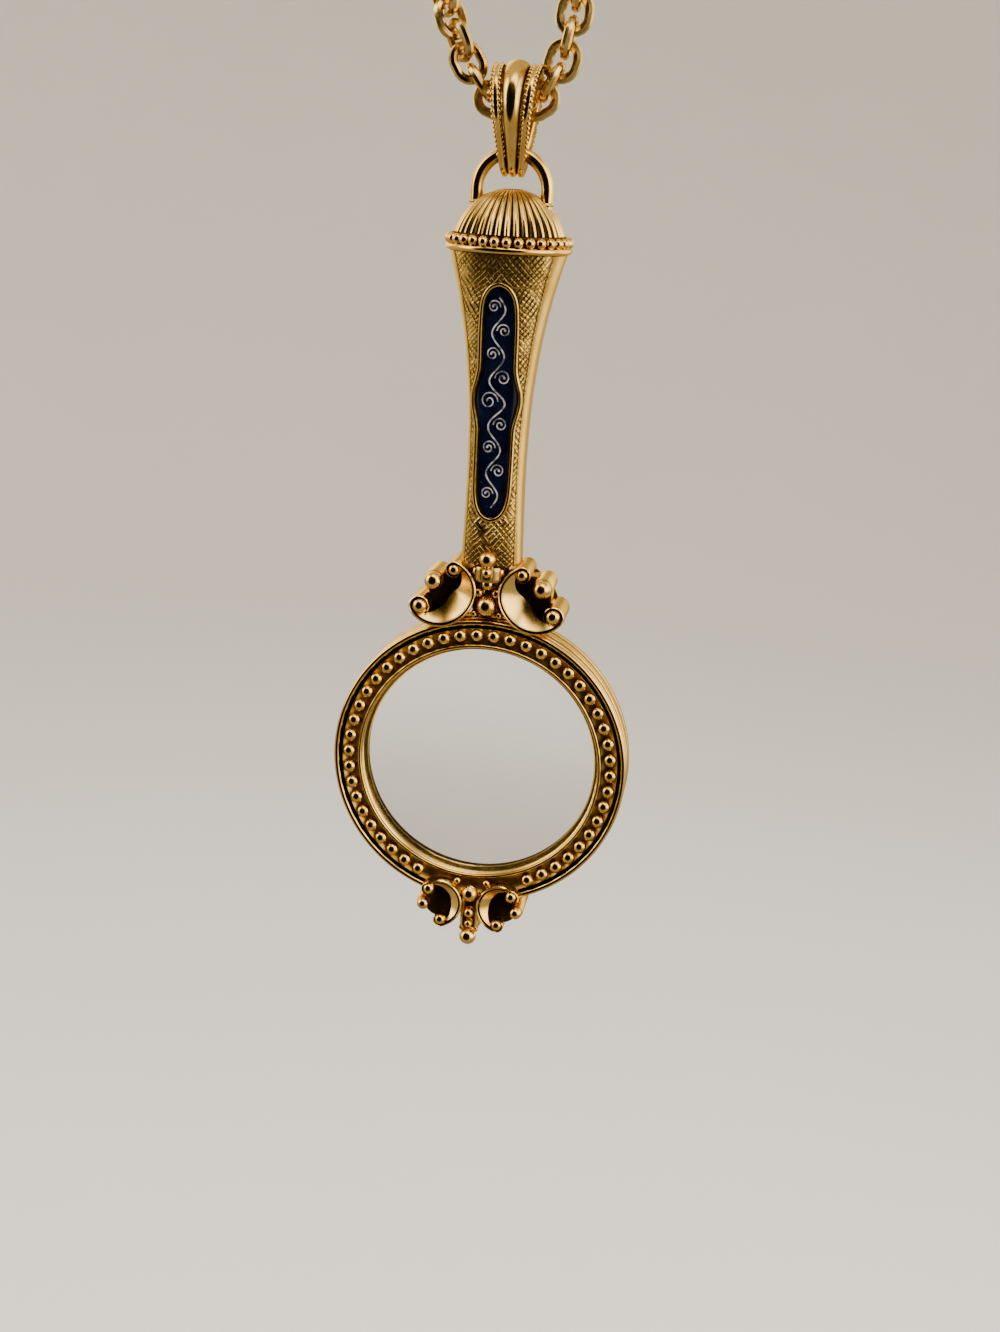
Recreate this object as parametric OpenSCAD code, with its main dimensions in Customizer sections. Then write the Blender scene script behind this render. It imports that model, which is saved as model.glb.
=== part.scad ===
// Magnifier pendant: a lens in a beaded ring under a flared handle, hanging on a cable chain.
// X to the wearer's left as seen from the front, Y to the back, Z up. Origin in the clasp, at the nape.

/* [Chain] */
// Length of the whole necklace, clasp included
chain_length = 457; // [420:1:508]
// Length of a link over its ends
link_length = 4.1; // [4:0.05:4.4]
// Width of a link
link_width = 3.45; // [3.3:0.05:3.7]
// Diameter of a link's wire
link_wire = 0.9; // [0.75:0.05:0.95]
// Free play between two links
link_play = 0.2; // [0.15:0.05:0.3]
// Roll of the left strand's links about the strand
left_roll = 45; // [0:5:60]

/* [Clasp] */
// Length of the clasp's barrel
barrel_length = 8; // [6:0.5:12]
// Diameter of the clasp's barrel
barrel_d = 3.4; // [2.8:0.1:4.4]
// Wire diameter of the clasp's two rings
clasp_wire = 0.8; // [0.7:0.05:0.9]

/* [Bail] */
// Height of the bail over all
bail_height = 10.4; // [10:0.1:12]
// Width of the bail at its top
bail_top_w = 4.8; // [4.4:0.1:5]
// Width of the bail at its bottom
bail_bottom_w = 2.1; // [1.9:0.1:2.4]
// Thickness of the middle strand at the top
bail_wall = 1.5; // [1.2:0.1:1.8]
// How much lower the two outer strands lie than the middle one
strand_step = 0.35; // [0.2:0.05:0.5]
// Gap between two strands at the top
strand_gap = 0.35; // [0.25:0.05:0.5]
// Thickness of the bail at its bottom
bail_foot = 1.2; // [1.1:0.1:1.5]
// Room between the links and the bail's opening
bail_room = 0.75; // [0.6:0.05:1]

/* [Cap] */
// Radius of the dome at its base
dome_r = 5.2; // [4.8:0.1:5.6]
// Height of the dome
dome_h = 3.95; // [3.4:0.05:4.4]
// Number of flutes round the dome
flutes = 36; // [24:2:40]
// Depth of a flute at the base
flute_depth = 0.32; // [0.2:0.02:0.4]
// Radius of the loop's centre line
loop_r = 3.3; // [3.1:0.05:3.5]
// Diameter of the loop's wire
loop_wire = 1.2; // [1:0.05:1.3]

/* [Collar] */
// Radius over the collar's beads
collar_r = 6.1; // [5.9:0.05:6.5]
// Diameter of a collar bead
collar_bead = 1; // [0.9:0.05:1.05]
// Number of collar beads
collar_beads = 32; // [24:1:32]
// Height of the plain lip under the beads
lip_h = 0.65; // [0.5:0.05:0.9]

/* [Handle] */
// Length of the handle
handle_length = 29.6; // [27:0.2:34]
// Width of the handle under the collar
handle_top_w = 11.1; // [10.6:0.1:11.4]
// Width of the handle at its waist
handle_waist_w = 5.5; // [5.2:0.1:6.2]
// Thickness of the handle under the collar
handle_top_t = 10.4; // [9.4:0.1:10.8]
// Thickness of the handle at its waist
handle_waist_t = 6.3; // [5.8:0.1:6.8]
// Thickness of the handle at its lower end
handle_foot_t = 5.4; // [5:0.1:5.6]

/* [Cartouche] */
// Length of the dark plate
plate_length = 21.9; // [18:0.1:23]
// Width of the dark plate
plate_w = 2.95; // [2.6:0.05:3.1]
// Width of the plate's bulge
bulge_w = 4; // [3.4:0.1:4.2]
// Height of the plate's lower end above the handle's lower end
plate_lift = 4.8; // [4.4:0.1:5.2]
// Thickness of the plate
plate_t = 0.6; // [0.4:0.05:0.8]
// Depth of the plate's face below the handle's
plate_sink = 0.15; // [0.05:0.05:0.3]
// Width of the raised frame
frame_w = 0.42; // [0.3:0.02:0.5]
// Height of the raised frame
frame_h = 0.22; // [0.1:0.02:0.3]

/* [Lens ring] */
// Outer radius of the ring
ring_r = 14.85; // [14.6:0.05:15.4]
// Depth of the ring from front to back
ring_t = 4.5; // [4.2:0.1:5]
// Width of the ring's band, from its outer edge to the glass in view
band_w = 3.3; // [3.2:0.05:3.6]
// Width of the plain outer wire
wire_w = 0.55; // [0.4:0.05:0.6]
// Width of the plain inner rim
rim_w = 0.38; // [0.3:0.02:0.45]
// Width of the slope from the inner rim down to the glass
slope_w = 0.45; // [0.35:0.05:0.6]
// Depth of the field behind the outer wire
field_sink = 0.55; // [0.4:0.05:0.7]
// Distance of the beads' middles from the ring's outer edge
bead_inset = 1.55; // [1.5:0.05:1.6]
// Diameter of a bead
bead_d = 1.25; // [1:0.05:1.3]
// Number of places round the ring
bead_places = 50; // [40:2:52]
// Half of the angle that the foot hides
bead_gap_angle = 21.6; // [20:0.1:24]

/* [Lens] */
// Radius of curvature of both faces
lens_curve = 59; // [52:1:90]
// Thickness of the lens at its edge
lens_edge_t = 1.3; // [1:0.05:1.5]
// How deep the lens sits in the ring's groove
lens_seat = 0.35; // [0.25:0.05:0.45]

/* [Crest] */
// Radius of a crest scroll
crest_scroll_r = 3.3; // [3:0.05:3.4]
// Height of the crest's shelf, where the handle stands, above the ring
shelf_h = 5.6; // [5.2:0.05:6]
// How far the crest stands out in front of the ring
crest_proud = 0.35; // [0.1:0.05:0.6]

/* [Foot] */
// Radius of a foot scroll
foot_scroll_r = 2.9; // [2.7:0.05:3]
// Thickness of the foot's relief in front of the ring
foot_proud = 1.3; // [1.1:0.05:1.5]

/* [Fits] */
// Gap between two pieces that are fitted together
seam = 0.05; // [0.03:0.01:0.08]
// Gap between the loop and the bail's edges where one hangs in the other
hang_gap = 0.1; // [0.08:0.01:0.15]

/* [Hidden] */
$fn = 48;
over = 1;

// The chain's route, from under the bail up to the clasp: first the turn in and beside the bail,
// in millimetres out and up, then the strand as shares of the whole length.
turn_right = [[0, 0], [1.5, 0.15], [2.6, 0.85], [3.3, 2], [3.85, 3.5]];
turn_left = [[0, 0], [1.5, 0.12], [2.7, 0.6], [3.6, 1.75], [4.6, 3.35]];
strand_right = [[0.0125, 0.03], [0.03, 0.079], [0.07, 0.167], [0.114, 0.245], [0.134, 0.305],
                [0.118, 0.362], [0.07, 0.398]];
strand_left = [[0.0195, 0.0295], [0.045, 0.076], [0.083, 0.161], [0.117, 0.243], [0.134, 0.305],
               [0.118, 0.362], [0.07, 0.398]];
nape_rise = 0.41;
route_steps = 14;

// Heights down the pendant
link_chord = link_length - link_wire;
clasp_ring_r = clasp_wire / 2 + link_wire / 2 + 0.5;
clasp_end = barrel_length / 2 + clasp_ring_r;
turn_z = -nape_rise * chain_length;
bail_bore_r = link_width / 2 + bail_room;
bail_axis_z = turn_z;
bail_top_z = bail_axis_z + bail_bore_r + bail_wall;
bail_bottom_z = bail_top_z - bail_height;
loop_inner_r = loop_r - loop_wire / 2;
eye_half_w = bail_bottom_w / 2
             + (bail_top_w - bail_bottom_w) / 2 * (bail_foot + over) / (bail_height + 2 * over);
loop_sag = loop_inner_r - sqrt(pow(loop_inner_r, 2) - pow(eye_half_w, 2));
loop_z = bail_bottom_z + bail_foot + loop_sag + hang_gap - loop_inner_r;
dome_z = loop_z - 0.05 - dome_h;
collar_top_z = dome_z - seam;
collar_z = collar_top_z - collar_bead - lip_h + 0.05;
handle_top_z = collar_z - seam;
handle_z = handle_top_z - handle_length;
shelf_z = handle_z - seam;
lens_z = shelf_z - shelf_h - ring_r;
plate_z = handle_z + plate_lift;

// Depths of the ring's parts behind its front plane, which lies half the ring's depth in front
front_y = -ring_t / 2;
wire_inner_r = ring_r - wire_w;
view_r = ring_r - band_w;
bead_circle_r = ring_r - bead_inset;
rim_r = view_r + slope_w;
groove_w = 0.3;
field_outer_r = wire_inner_r - groove_w;
lens_r = view_r + lens_seat - seam;
lens_groove_t = lens_edge_t + 2 * seam;

// Where the handle is narrowest, as a share of its length
waist_share = 0.28;
flare_power = 2.4;
handle_foot_flare = 0.2;
ring_sides = 24;
handle_rings = 16;

// Outline of the dark plate, from its lower end up
// [share of the length, half width as a share of the plate's, share of the bulge's extra width]
PLATE = [[0, 0.04, 0], [0.008, 0.35, 0], [0.03, 0.66, 0], [0.07, 0.88, 0], [0.12, 0.97, 0],
         [0.2, 1, 0], [0.38, 1, 0.05], [0.42, 1, 0.25], [0.47, 1, 0.75], [0.51, 1, 1],
         [0.545, 1, 0.95], [0.58, 1, 0.6], [0.62, 1, 0.2], [0.66, 0.99, 0], [0.8, 1, 0],
         [0.9, 0.95, 0], [0.94, 0.86, 0], [0.975, 0.62, 0], [0.992, 0.34, 0], [1, 0.04, 0]];

// Outline of the dome: [height as a share of the dome's, radius as a share of its base]
DOME = [[0, 1], [0.11, 0.97], [0.35, 0.88], [0.6, 0.73], [0.8, 0.58], [0.92, 0.43], [1, 0.25]];

// Curls of a scroll in its own frame, the mouth along X: [out, up, radius] as shares of its radius
CREST_CURLS = [[0.19, 0.66, 0.28], [0.16, -0.87, 0.36]];
CREST_BEAD = [0.4, -0.02, 0.28];
CREST_MOUTH = 0.3;
FOOT_CURLS = [[0.05, 0.6, 0.27], [0, -0.61, 0.27]];
FOOT_BEAD = [0.42, 0.11, 0.22];
FOOT_MOUTH = 0.1;

// Column of beads above and below the ring: [height above or below the ring's edge, radius],
// and in the crest whether a bead stands in front of the handle
CREST_COLUMN = [[6.35, 0.85, true], [3.75, 0.55, false], [1.5, 1.05, false]];
CREST_SIDE_BEADS = [[0.95, 4.75, 0.42], [0.8, 2.85, 0.36]];
FOOT_COLUMN = [[-1.2, 0.85], [0.9, 0.52], [3.55, 0.88]];

// Bar behind the foot's beads: width, and how far it reaches below and above the ring's lowest point
foot_bar_w = 2.4;
foot_bar_drop = 3.4;
foot_bar_rise = 1.2;

function smooth(t) = t <= 0 ? 0 : t >= 1 ? 1 : t * t * (3 - 2 * t);
function mirrored(p) = [-p[0], p[1]];

// A route's points, its tangent at each, and dense samples along cubic arcs between them
function route_points(turn, strand) =
    concat(turn, [for (p = strand) p * chain_length], [[clasp_end, nape_rise * chain_length]]);
function tangent(p, i) =
    i == 0 ? [1, 0] : i == len(p) - 1 ? [-1, 0] :
    let (before = norm(p[i] - p[i - 1]), after = norm(p[i + 1] - p[i]))
    ((p[i] - p[i - 1]) / before * after + (p[i + 1] - p[i]) / after * before) / (before + after);
function cubic(a, b, ta, tb, t) =
    let (d = norm(b - a), u = 1 - t)
    a * u * u * (1 + 2 * t) + b * t * t * (3 - 2 * t) + (ta * t * u * u - tb * t * t * u) * d;
function samples(p) = concat(
    [for (i = [0:len(p) - 2]) for (k = [0:route_steps - 1])
        cubic(p[i], p[i + 1], tangent(p, i), tangent(p, i + 1), k / route_steps)],
    [p[len(p) - 1]]);
function run_lengths(q) =
    [for (i = 0, s = 0; i < len(q); i = i + 1, s = i < len(q) ? s + norm(q[i] - q[i - 1]) : s) s];

// A strand is its samples and their run lengths; at() gives the point at a length along it
function strand(q) = [q, run_lengths(q)];
function table(strand, axis) = [for (i = [0:len(strand[0]) - 1]) [strand[1][i], strand[0][i][axis]]];
function tables(strand) = [table(strand, 0), table(strand, 1), strand[1][len(strand[1]) - 1]];
function at(t, s) = s < 0 ? [-lookup(-s, t[0]), lookup(-s, t[1])] : [lookup(s, t[0]), lookup(s, t[1])];

// Links on a strand: an even number, so that the last one stands across the clasp's ring
link_pitch_free = link_length - 2 * link_wire - link_play;
clasp_reach = clasp_ring_r - link_wire / 2 - clasp_wire / 2 - link_play;
function link_count(t) =
    2 * round((t[2] - link_chord / 2 - clasp_reach) / link_pitch_free / 2);
function link_pitch(t) = (t[2] - link_chord / 2 - clasp_reach) / link_count(t);

right_route = tables(strand(samples(route_points(turn_right, strand_right))));
left_route = tables(strand(samples(route_points(turn_left, strand_left))));

// A link lies in the XY plane, its length along X: a bend at each end and a bar at each side
module bend(end) {
    translate([end * (link_length - link_width) / 2, 0, 0])
        rotate([0, 0, -90 * end])
            rotate_extrude(angle = 180)
                translate([(link_width - link_wire) / 2, 0])
                    circle(d = link_wire, $fn = 24);
}

module bar(side) {
    translate([(link_width - link_length) / 2, side * (link_width - link_wire) / 2, 0])
        rotate([0, 90, 0])
            cylinder(d = link_wire, h = link_length - link_width, $fn = 24);
}

// Puts a link's part between the two ends that [a, b, roll] gives, rolled about the line through them
module placed(ends) {
    mid = (ends[0] + ends[1]) / 2;
    run = ends[1] - ends[0];
    translate([mid[0], 0, turn_z + mid[1]])
        rotate([0, -atan2(run[1], run[0]), 0])
            rotate([ends[2], 0, 0])
                children();
}

// The ends and roll of a strand's link: every second link stands across its neighbours
function link_ends(route, side, strand_roll, i) =
    let (count = link_count(route), pitch = link_pitch(route),
         half = (i % 2 == 0 ? link_chord : 2 * pitch - link_chord) / 2,
         a = at(route, i * pitch - half), b = at(route, i * pitch + half),
         twist = strand_roll * (smooth((i - 1) / 4) - smooth((i - count + 14) / 12)))
    [side > 0 ? a : mirrored(a), side > 0 ? b : mirrored(b), 90 * (i % 2) + twist];
function strand_ends(route, side, strand_roll) =
    [for (i = [1:link_count(route)]) link_ends(route, side, strand_roll, i)];

module links(all_ends) {
    for (ends = all_ends) {
        placed(ends) bend(1);
        placed(ends) bend(-1);
        placed(ends) bar(1);
        placed(ends) bar(-1);
    }
}

module chain_left() {
    color("goldenrod")
        links(strand_ends(left_route, -1, left_roll));
}

module chain_right() {
    middle = [mirrored(at(left_route, link_chord / 2)), at(right_route, link_chord / 2), 0];
    color("goldenrod")
        links(concat([middle], strand_ends(right_route, 1, 0)));
}

// Barrel with bevelled ends along X and a ring standing in the XZ plane at each end
module clasp() {
    r = barrel_d / 2;
    bevel = barrel_d / 5;
    half = barrel_length / 2 + clasp_wire / 4;
    color("goldenrod") {
        rotate([0, 90, 0])
            rotate_extrude()
                polygon([[0, -half], [r - bevel, -half], [r, -half + bevel],
                         [r, half - bevel], [r - bevel, half], [0, half]]);
        for (side = [-1, 1])
            translate([side * clasp_end, 0, 0])
                rotate([90, 0, 0])
                    rotate_extrude()
                        translate([clasp_ring_r, 0])
                            circle(d = clasp_wire, $fn = 24);
    }
}

// Drop outline in the YZ plane: a large circle above a small one and the straight sides between
module drop(r_top, z_top, r_bottom, z_bottom, half_width) {
    slope = (r_bottom - r_top) / (z_top - z_bottom);
    side = sqrt(1 - slope * slope);
    inset = 0.995;
    rotate([90, 0, 90])
        linear_extrude(2 * half_width, center = true) {
            translate([0, z_top]) circle(r = r_top);
            translate([0, z_bottom]) circle(r = r_bottom);
            polygon([for (p = [[1, r_top, z_top], [1, r_bottom, z_bottom],
                               [-1, r_bottom, z_bottom], [-1, r_top, z_top]])
                [p[0] * p[1] * side * inset, p[2] + p[1] * slope * inset]]);
        }
}

// Bar seen from the front, its two edges running from the bail's top to its bottom
module strand_bar(inner_top, outer_top, inner_bottom, outer_bottom) {
    rotate([90, 0, 0])
        linear_extrude(4 * bail_bore_r + 4 * bail_wall, center = true)
            polygon([[inner_top, bail_top_z + over], [outer_top, bail_top_z + over],
                     [outer_bottom, bail_bottom_z - over], [inner_bottom, bail_bottom_z - over]]);
}

// The bail: three strands that run together at the bottom, round the chain and the cap's loop
module bail() {
    middle_top = 0.44 * bail_top_w / 2;
    outer_top = bail_top_w / 2;
    outer_bottom = bail_bottom_w / 2;
    eye_r = loop_wire / 2 + 0.3;
    eye_z = bail_bottom_z + bail_foot + eye_r;
    foot_r = bail_foot * 0.8;
    color("goldenrod")
        difference() {
            union() {
                intersection() {
                    drop(bail_bore_r + bail_wall, bail_axis_z, foot_r, bail_bottom_z + foot_r, bail_top_w);
                    strand_bar(-middle_top, middle_top, -outer_bottom * 0.4, outer_bottom * 0.4);
                }
                intersection() {
                    drop(bail_bore_r + bail_wall - strand_step, bail_axis_z, foot_r,
                         bail_bottom_z + foot_r, bail_top_w);
                    union() {
                        for (side = [-1, 1])
                            strand_bar(side * (middle_top + strand_gap), side * outer_top,
                                       side * outer_bottom * 0.35, side * outer_bottom);
                        translate([-outer_bottom, -bail_bore_r, bail_bottom_z - over])
                            cube([2 * outer_bottom, 2 * bail_bore_r, over + bail_foot + eye_r / 2]);
                    }
                }
            }
            drop(bail_bore_r, bail_axis_z, eye_r, eye_z, bail_top_w);
        }
}

// Faces between rings of points, each ring with as many points, closed at both ends
module loft(rings) {
    n = len(rings[0]);
    m = len(rings);
    polyhedron(
        points = [for (ring = rings) each ring],
        faces = concat(
            [[for (i = [0:n - 1]) i]],
            [for (j = [0:m - 2]) for (i = [0:n - 1])
                each [[j * n + i, (j + 1) * n + i, j * n + (i + 1) % n],
                      [j * n + (i + 1) % n, (j + 1) * n + i, (j + 1) * n + (i + 1) % n]]],
            [[for (i = [n - 1:-1:0]) (m - 1) * n + i]]));
}

// Radius at one of the dome's flutes: round lobes that meet in valleys, shallower to the top
function lobe(h, share, phase) =
    dome_r * share - flute_depth * (1 - h * 0.7) * (1 - sin(180 * phase));

module dome() {
    points_per_lobe = 4;
    count = flutes * points_per_lobe;
    loft([for (row = DOME)
        [for (i = [0:count - 1])
            let (r = lobe(row[0], row[1], (i % points_per_lobe) / points_per_lobe),
                 angle = 360 * i / count)
            [r * cos(angle), r * sin(angle), dome_z + dome_h * row[0]]]]);
}

// Fluted dome with its loop, an arch on two legs that stand in the dome's shoulders
module cap() {
    leg = dome_h * 0.58;
    color("goldenrod") {
        dome();
        translate([0, 0, loop_z])
            rotate([90, 0, 0])
                rotate_extrude(angle = 180)
                    translate([loop_r, 0])
                        circle(d = loop_wire);
        for (side = [-1, 1])
            translate([side * loop_r, 0, loop_z - leg])
                cylinder(d = loop_wire, h = leg);
    }
}

// Disc with a plain lip and a row of beads on it
module collar() {
    bead_r = collar_bead / 2;
    color("goldenrod") {
        translate([0, 0, collar_z])
            cylinder(r = collar_r - 0.15, h = lip_h);
        translate([0, 0, collar_z])
            cylinder(r = collar_r - bead_r - 0.25, h = collar_top_z - collar_z);
        for (i = [0:collar_beads - 1])
            rotate([0, 0, 360 * (i + 0.5) / collar_beads])
                translate([collar_r - bead_r, 0, collar_z + lip_h + bead_r - 0.1])
                    sphere(d = collar_bead, $fn = 24);
    }
}

// Half width and half depth of the handle at a share of its length
function flare(t) = t < waist_share ? 0 : pow((t - waist_share) / (1 - waist_share), flare_power);
function toe(t) = t < waist_share ? pow(1 - t / waist_share, 1.5) : 0;
function handle_half_w(t) =
    handle_waist_w / 2 + (handle_top_w - handle_waist_w) / 2 * flare(t) + handle_foot_flare * toe(t);
function handle_half_t(t) =
    handle_waist_t / 2 + (handle_top_t - handle_waist_t) / 2 * flare(t)
    - (handle_waist_t - handle_foot_t) / 2 * toe(t);
// The section grows from a soft square at the waist to nearly round under the collar
function squareness(t) = 3.2 - 1.1 * flare(t);
function super_point(a, w, d, m) =
    let (c = cos(a), s = sin(a))
    [w * sign(c) * pow(abs(c), 2 / m), d * sign(s) * pow(abs(s), 2 / m)];

// The handle's outer form, or a form that lies a set depth inside it
module handle_form(inset = 0) {
    loft([for (k = [0:handle_rings])
        let (t = k / handle_rings, z = handle_z + t * handle_length,
             w = handle_half_w(t) - inset, d = handle_half_t(t) - inset, m = squareness(t))
        [for (i = [0:ring_sides - 1])
            let (p = super_point(360 * (i + 0.5) / ring_sides, w, d, m)) [p[0], p[1], z]]]);
}

// Prism of the cartouche's outline, from inside the handle out past its front
module cartouche(grow = 0) {
    function half(row) = plate_w / 2 * row[1] + (bulge_w - plate_w) / 2 * row[2] + grow;
    function height(row) = plate_z - grow + (plate_length + 2 * grow) * row[0];
    rotate([90, 0, 0])
        linear_extrude(handle_top_t)
            polygon(concat([for (row = PLATE) [half(row), height(row)]],
                           [for (i = [len(PLATE) - 1:-1:0]) [-half(PLATE[i]), height(PLATE[i])]]));
}

// Handle with the pocket for the plate and the raised frame round it
module handle() {
    color("goldenrod")
        difference() {
            union() {
                handle_form();
                intersection() {
                    handle_form(-frame_h);
                    difference() {
                        cartouche(frame_w + seam);
                        cartouche(seam);
                    }
                }
            }
            difference() {
                cartouche(seam);
                handle_form(plate_sink + plate_t + seam);
            }
        }
}

// Dark plate that fills the pocket and follows the handle's front
module plate() {
    color("midnightblue")
        intersection() {
            cartouche();
            difference() {
                handle_form(plate_sink);
                handle_form(plate_sink + plate_t);
            }
        }
}

// Scroll in its own XY plane, mouth along X, front along Z. The crescent with its raised edge,
// two curls at the mouth's corners, the bead between them, and the web that joins them, set back
module scroll(r, curls, bead, mouth, back, front) {
    edge = 0.22;
    web_front = front - 1.5;
    difference() {
        translate([0, 0, -back]) cylinder(r = r, h = back + front);
        translate([0.25 * r, -0.08 * r, -back - over]) cylinder(r = 0.7 * r, h = back + front + 2 * over);
        translate([mouth * r, -r - over, -back - over])
            cube([r, 2 * r + 2 * over, back + front + 2 * over]);
        translate([0, 0, front - edge]) cylinder(r = r - edge, h = edge + over);
    }
    translate([-0.12 * r, -0.05 * r, -back]) cylinder(r = 0.66 * r, h = back + web_front);
    for (curl = curls)
        translate([curl[0] * r, curl[1] * r, 0]) {
            translate([0, 0, -back]) cylinder(r = curl[2] * r, h = back + front - 0.1);
            translate([0, 0, front - 0.1]) sphere(r = curl[2] * r * 0.6, $fn = 32);
        }
    translate([bead[0] * r, bead[1] * r, 0]) {
        translate([0, 0, -back]) cylinder(r = (bead[2] + 0.1) * r, h = back + front - 0.55);
        translate([0, 0, front - 0.45]) sphere(r = bead[2] * r, $fn = 32);
    }
}

// Two scrolls, one mirrored, their mouths turned out and up by an angle
module scroll_pair(x, z, turn, r, curls, bead, mouth, back, front) {
    for (side = [0, 1])
        mirror([side, 0, 0])
            translate([x, 0, z])
                rotate([90, 0, 0])
                    rotate([0, 0, turn])
                        scroll(r, curls, bead, mouth, back, front);
}

module column_bead(z, x, r, front) {
    translate([x, -front, z]) sphere(r = r, $fn = 32);
}

// Crest: stands on the ring, carries the handle on its shelf, and laps over the handle's front
module crest() {
    back = ring_t / 2 - 0.05;
    front = ring_t / 2 + crest_proud;
    top_z = lens_z + ring_r;
    lap_front = handle_foot_t / 2 + seam + 0.6;
    handle_room = handle_waist_w / 2 + handle_foot_flare + 0.15;
    color("goldenrod")
        difference() {
            union() {
                scroll_pair(1.31 * crest_scroll_r, top_z + 0.86 * crest_scroll_r, 41, crest_scroll_r,
                            CREST_CURLS, CREST_BEAD, CREST_MOUTH, back, front);
                translate([-1.45, -front + 0.9, lens_z]) cube([2.9, back + front - 0.9, shelf_h + ring_r]);
                translate([-0.6, -lap_front, shelf_z - 1.4]) cube([1.2, lap_front, 2.4]);
                for (row = CREST_COLUMN)
                    column_bead(top_z + row[0], 0, row[1], row[2] ? lap_front - 0.2 : front - 0.5);
                for (row = CREST_SIDE_BEADS) for (side = [-1, 1])
                    column_bead(top_z + row[1], side * row[0], row[2], front - 0.7);
            }
            translate([-handle_room, -handle_foot_t / 2 - seam - 0.05, shelf_z])
                cube([2 * handle_room, handle_foot_t + 1, handle_length]);
            translate([0, 0, lens_z])
                rotate([90, 0, 0])
                    cylinder(r = ring_r + seam, h = 4 * ring_t, center = true, $fn = 96);
        }
}

// Foot: hangs under the ring and laps over the lower part of its front
module foot() {
    back = ring_t / 2 - 0.05;
    front = ring_t / 2 + foot_proud;
    bottom_z = lens_z - ring_r;
    color("goldenrod")
        difference() {
            union() {
                scroll_pair(1.22 * foot_scroll_r, bottom_z - 0.1 * foot_scroll_r, -20, foot_scroll_r,
                            FOOT_CURLS, FOOT_BEAD, FOOT_MOUTH, back, front);
                translate([-foot_bar_w / 2, -front + 0.8, bottom_z - foot_bar_drop])
                    cube([foot_bar_w, back + front - 0.9, foot_bar_drop + foot_bar_rise]);
                for (row = FOOT_COLUMN)
                    column_bead(bottom_z - row[0], 0, row[1], front - 0.4);
            }
            translate([0, front_y - seam, lens_z])
                rotate([-90, 0, 0])
                    cylinder(r = ring_r + seam, h = 2 * ring_t, $fn = 96);
        }
}

// Section of the ring: radius across, depth behind the front plane up
module ring_section() {
    soft = wire_w / 2;
    lip_z = (ring_t - lens_groove_t) / 2;
    difference() {
        union() {
            translate([view_r, soft]) square([ring_r - view_r, ring_t - soft]);
            translate([wire_inner_r + soft, soft]) circle(r = soft, $fn = 32);
            translate([rim_r + rim_w / 2, rim_w / 2 + 0.05]) circle(d = rim_w, $fn = 32);
        }
        translate([field_outer_r, -over]) square([groove_w, field_sink + 0.45 + over]);
        translate([rim_r + rim_w, -over]) square([field_outer_r - rim_r - rim_w + 0.1, field_sink + over]);
        polygon([[view_r - over, -over], [rim_r, -over], [rim_r, rim_w / 2 + 0.05],
                 [view_r, lip_z - 0.15], [view_r - over, lip_z - 0.15]]);
        translate([view_r - over, lip_z]) square([over + lens_seat, lens_groove_t]);
        for (step = [0.3, 0.72])
            translate([ring_r - 0.12, ring_t * step]) square([over, ring_t * 0.06]);
    }
}

// The lens ring with its beads, left out where the foot lies over them
module bezel() {
    color("goldenrod")
        translate([0, front_y, lens_z]) {
            rotate([-90, 0, 0])
                rotate_extrude($fn = 96)
                    ring_section();
            for (i = [0:bead_places - 1])
                let (angle = 360 * (i + 0.5) / bead_places)
                    if (abs(angle - 180) > bead_gap_angle)
                        rotate([0, angle, 0])
                            translate([0, field_sink - 0.08, bead_circle_r])
                                sphere(d = bead_d, $fn = 24);
        }
}

// Clear lens, domed on both faces
module lens() {
    sag = lens_curve - sqrt(lens_curve * lens_curve - lens_r * lens_r);
    centre = lens_curve - sag - lens_edge_t / 2;
    color("azure", 0.4)
        translate([0, 0, lens_z])
            rotate([90, 0, 0])
                rotate_extrude($fn = 96)
                    intersection() {
                        translate([0, -ring_t]) square([lens_r, 2 * ring_t]);
                        translate([0, centre]) circle(r = lens_curve, $fn = 720);
                        translate([0, -centre]) circle(r = lens_curve, $fn = 720);
                    }
}

chain_left();
chain_right();
clasp();
bail();
cap();
collar();
handle();
plate();
crest();
bezel();
lens();
foot();
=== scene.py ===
"""Magnifier pendant on a cable chain: the looks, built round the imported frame."""
import math

import bmesh
import bpy
import numpy as np
from mathutils import Matrix


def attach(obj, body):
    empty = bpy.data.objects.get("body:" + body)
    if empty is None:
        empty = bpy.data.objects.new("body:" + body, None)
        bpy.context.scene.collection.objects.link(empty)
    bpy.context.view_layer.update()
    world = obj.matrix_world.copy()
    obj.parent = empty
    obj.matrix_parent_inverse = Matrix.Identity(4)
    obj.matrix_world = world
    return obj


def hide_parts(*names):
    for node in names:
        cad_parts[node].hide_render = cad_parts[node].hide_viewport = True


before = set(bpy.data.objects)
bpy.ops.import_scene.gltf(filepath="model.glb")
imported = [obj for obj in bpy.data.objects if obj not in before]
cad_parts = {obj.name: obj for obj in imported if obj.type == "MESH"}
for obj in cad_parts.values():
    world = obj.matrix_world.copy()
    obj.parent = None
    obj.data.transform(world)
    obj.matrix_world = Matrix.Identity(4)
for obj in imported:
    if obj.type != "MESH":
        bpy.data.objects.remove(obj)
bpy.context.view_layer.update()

MM = 0.001
TAU = 2 * math.pi

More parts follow.
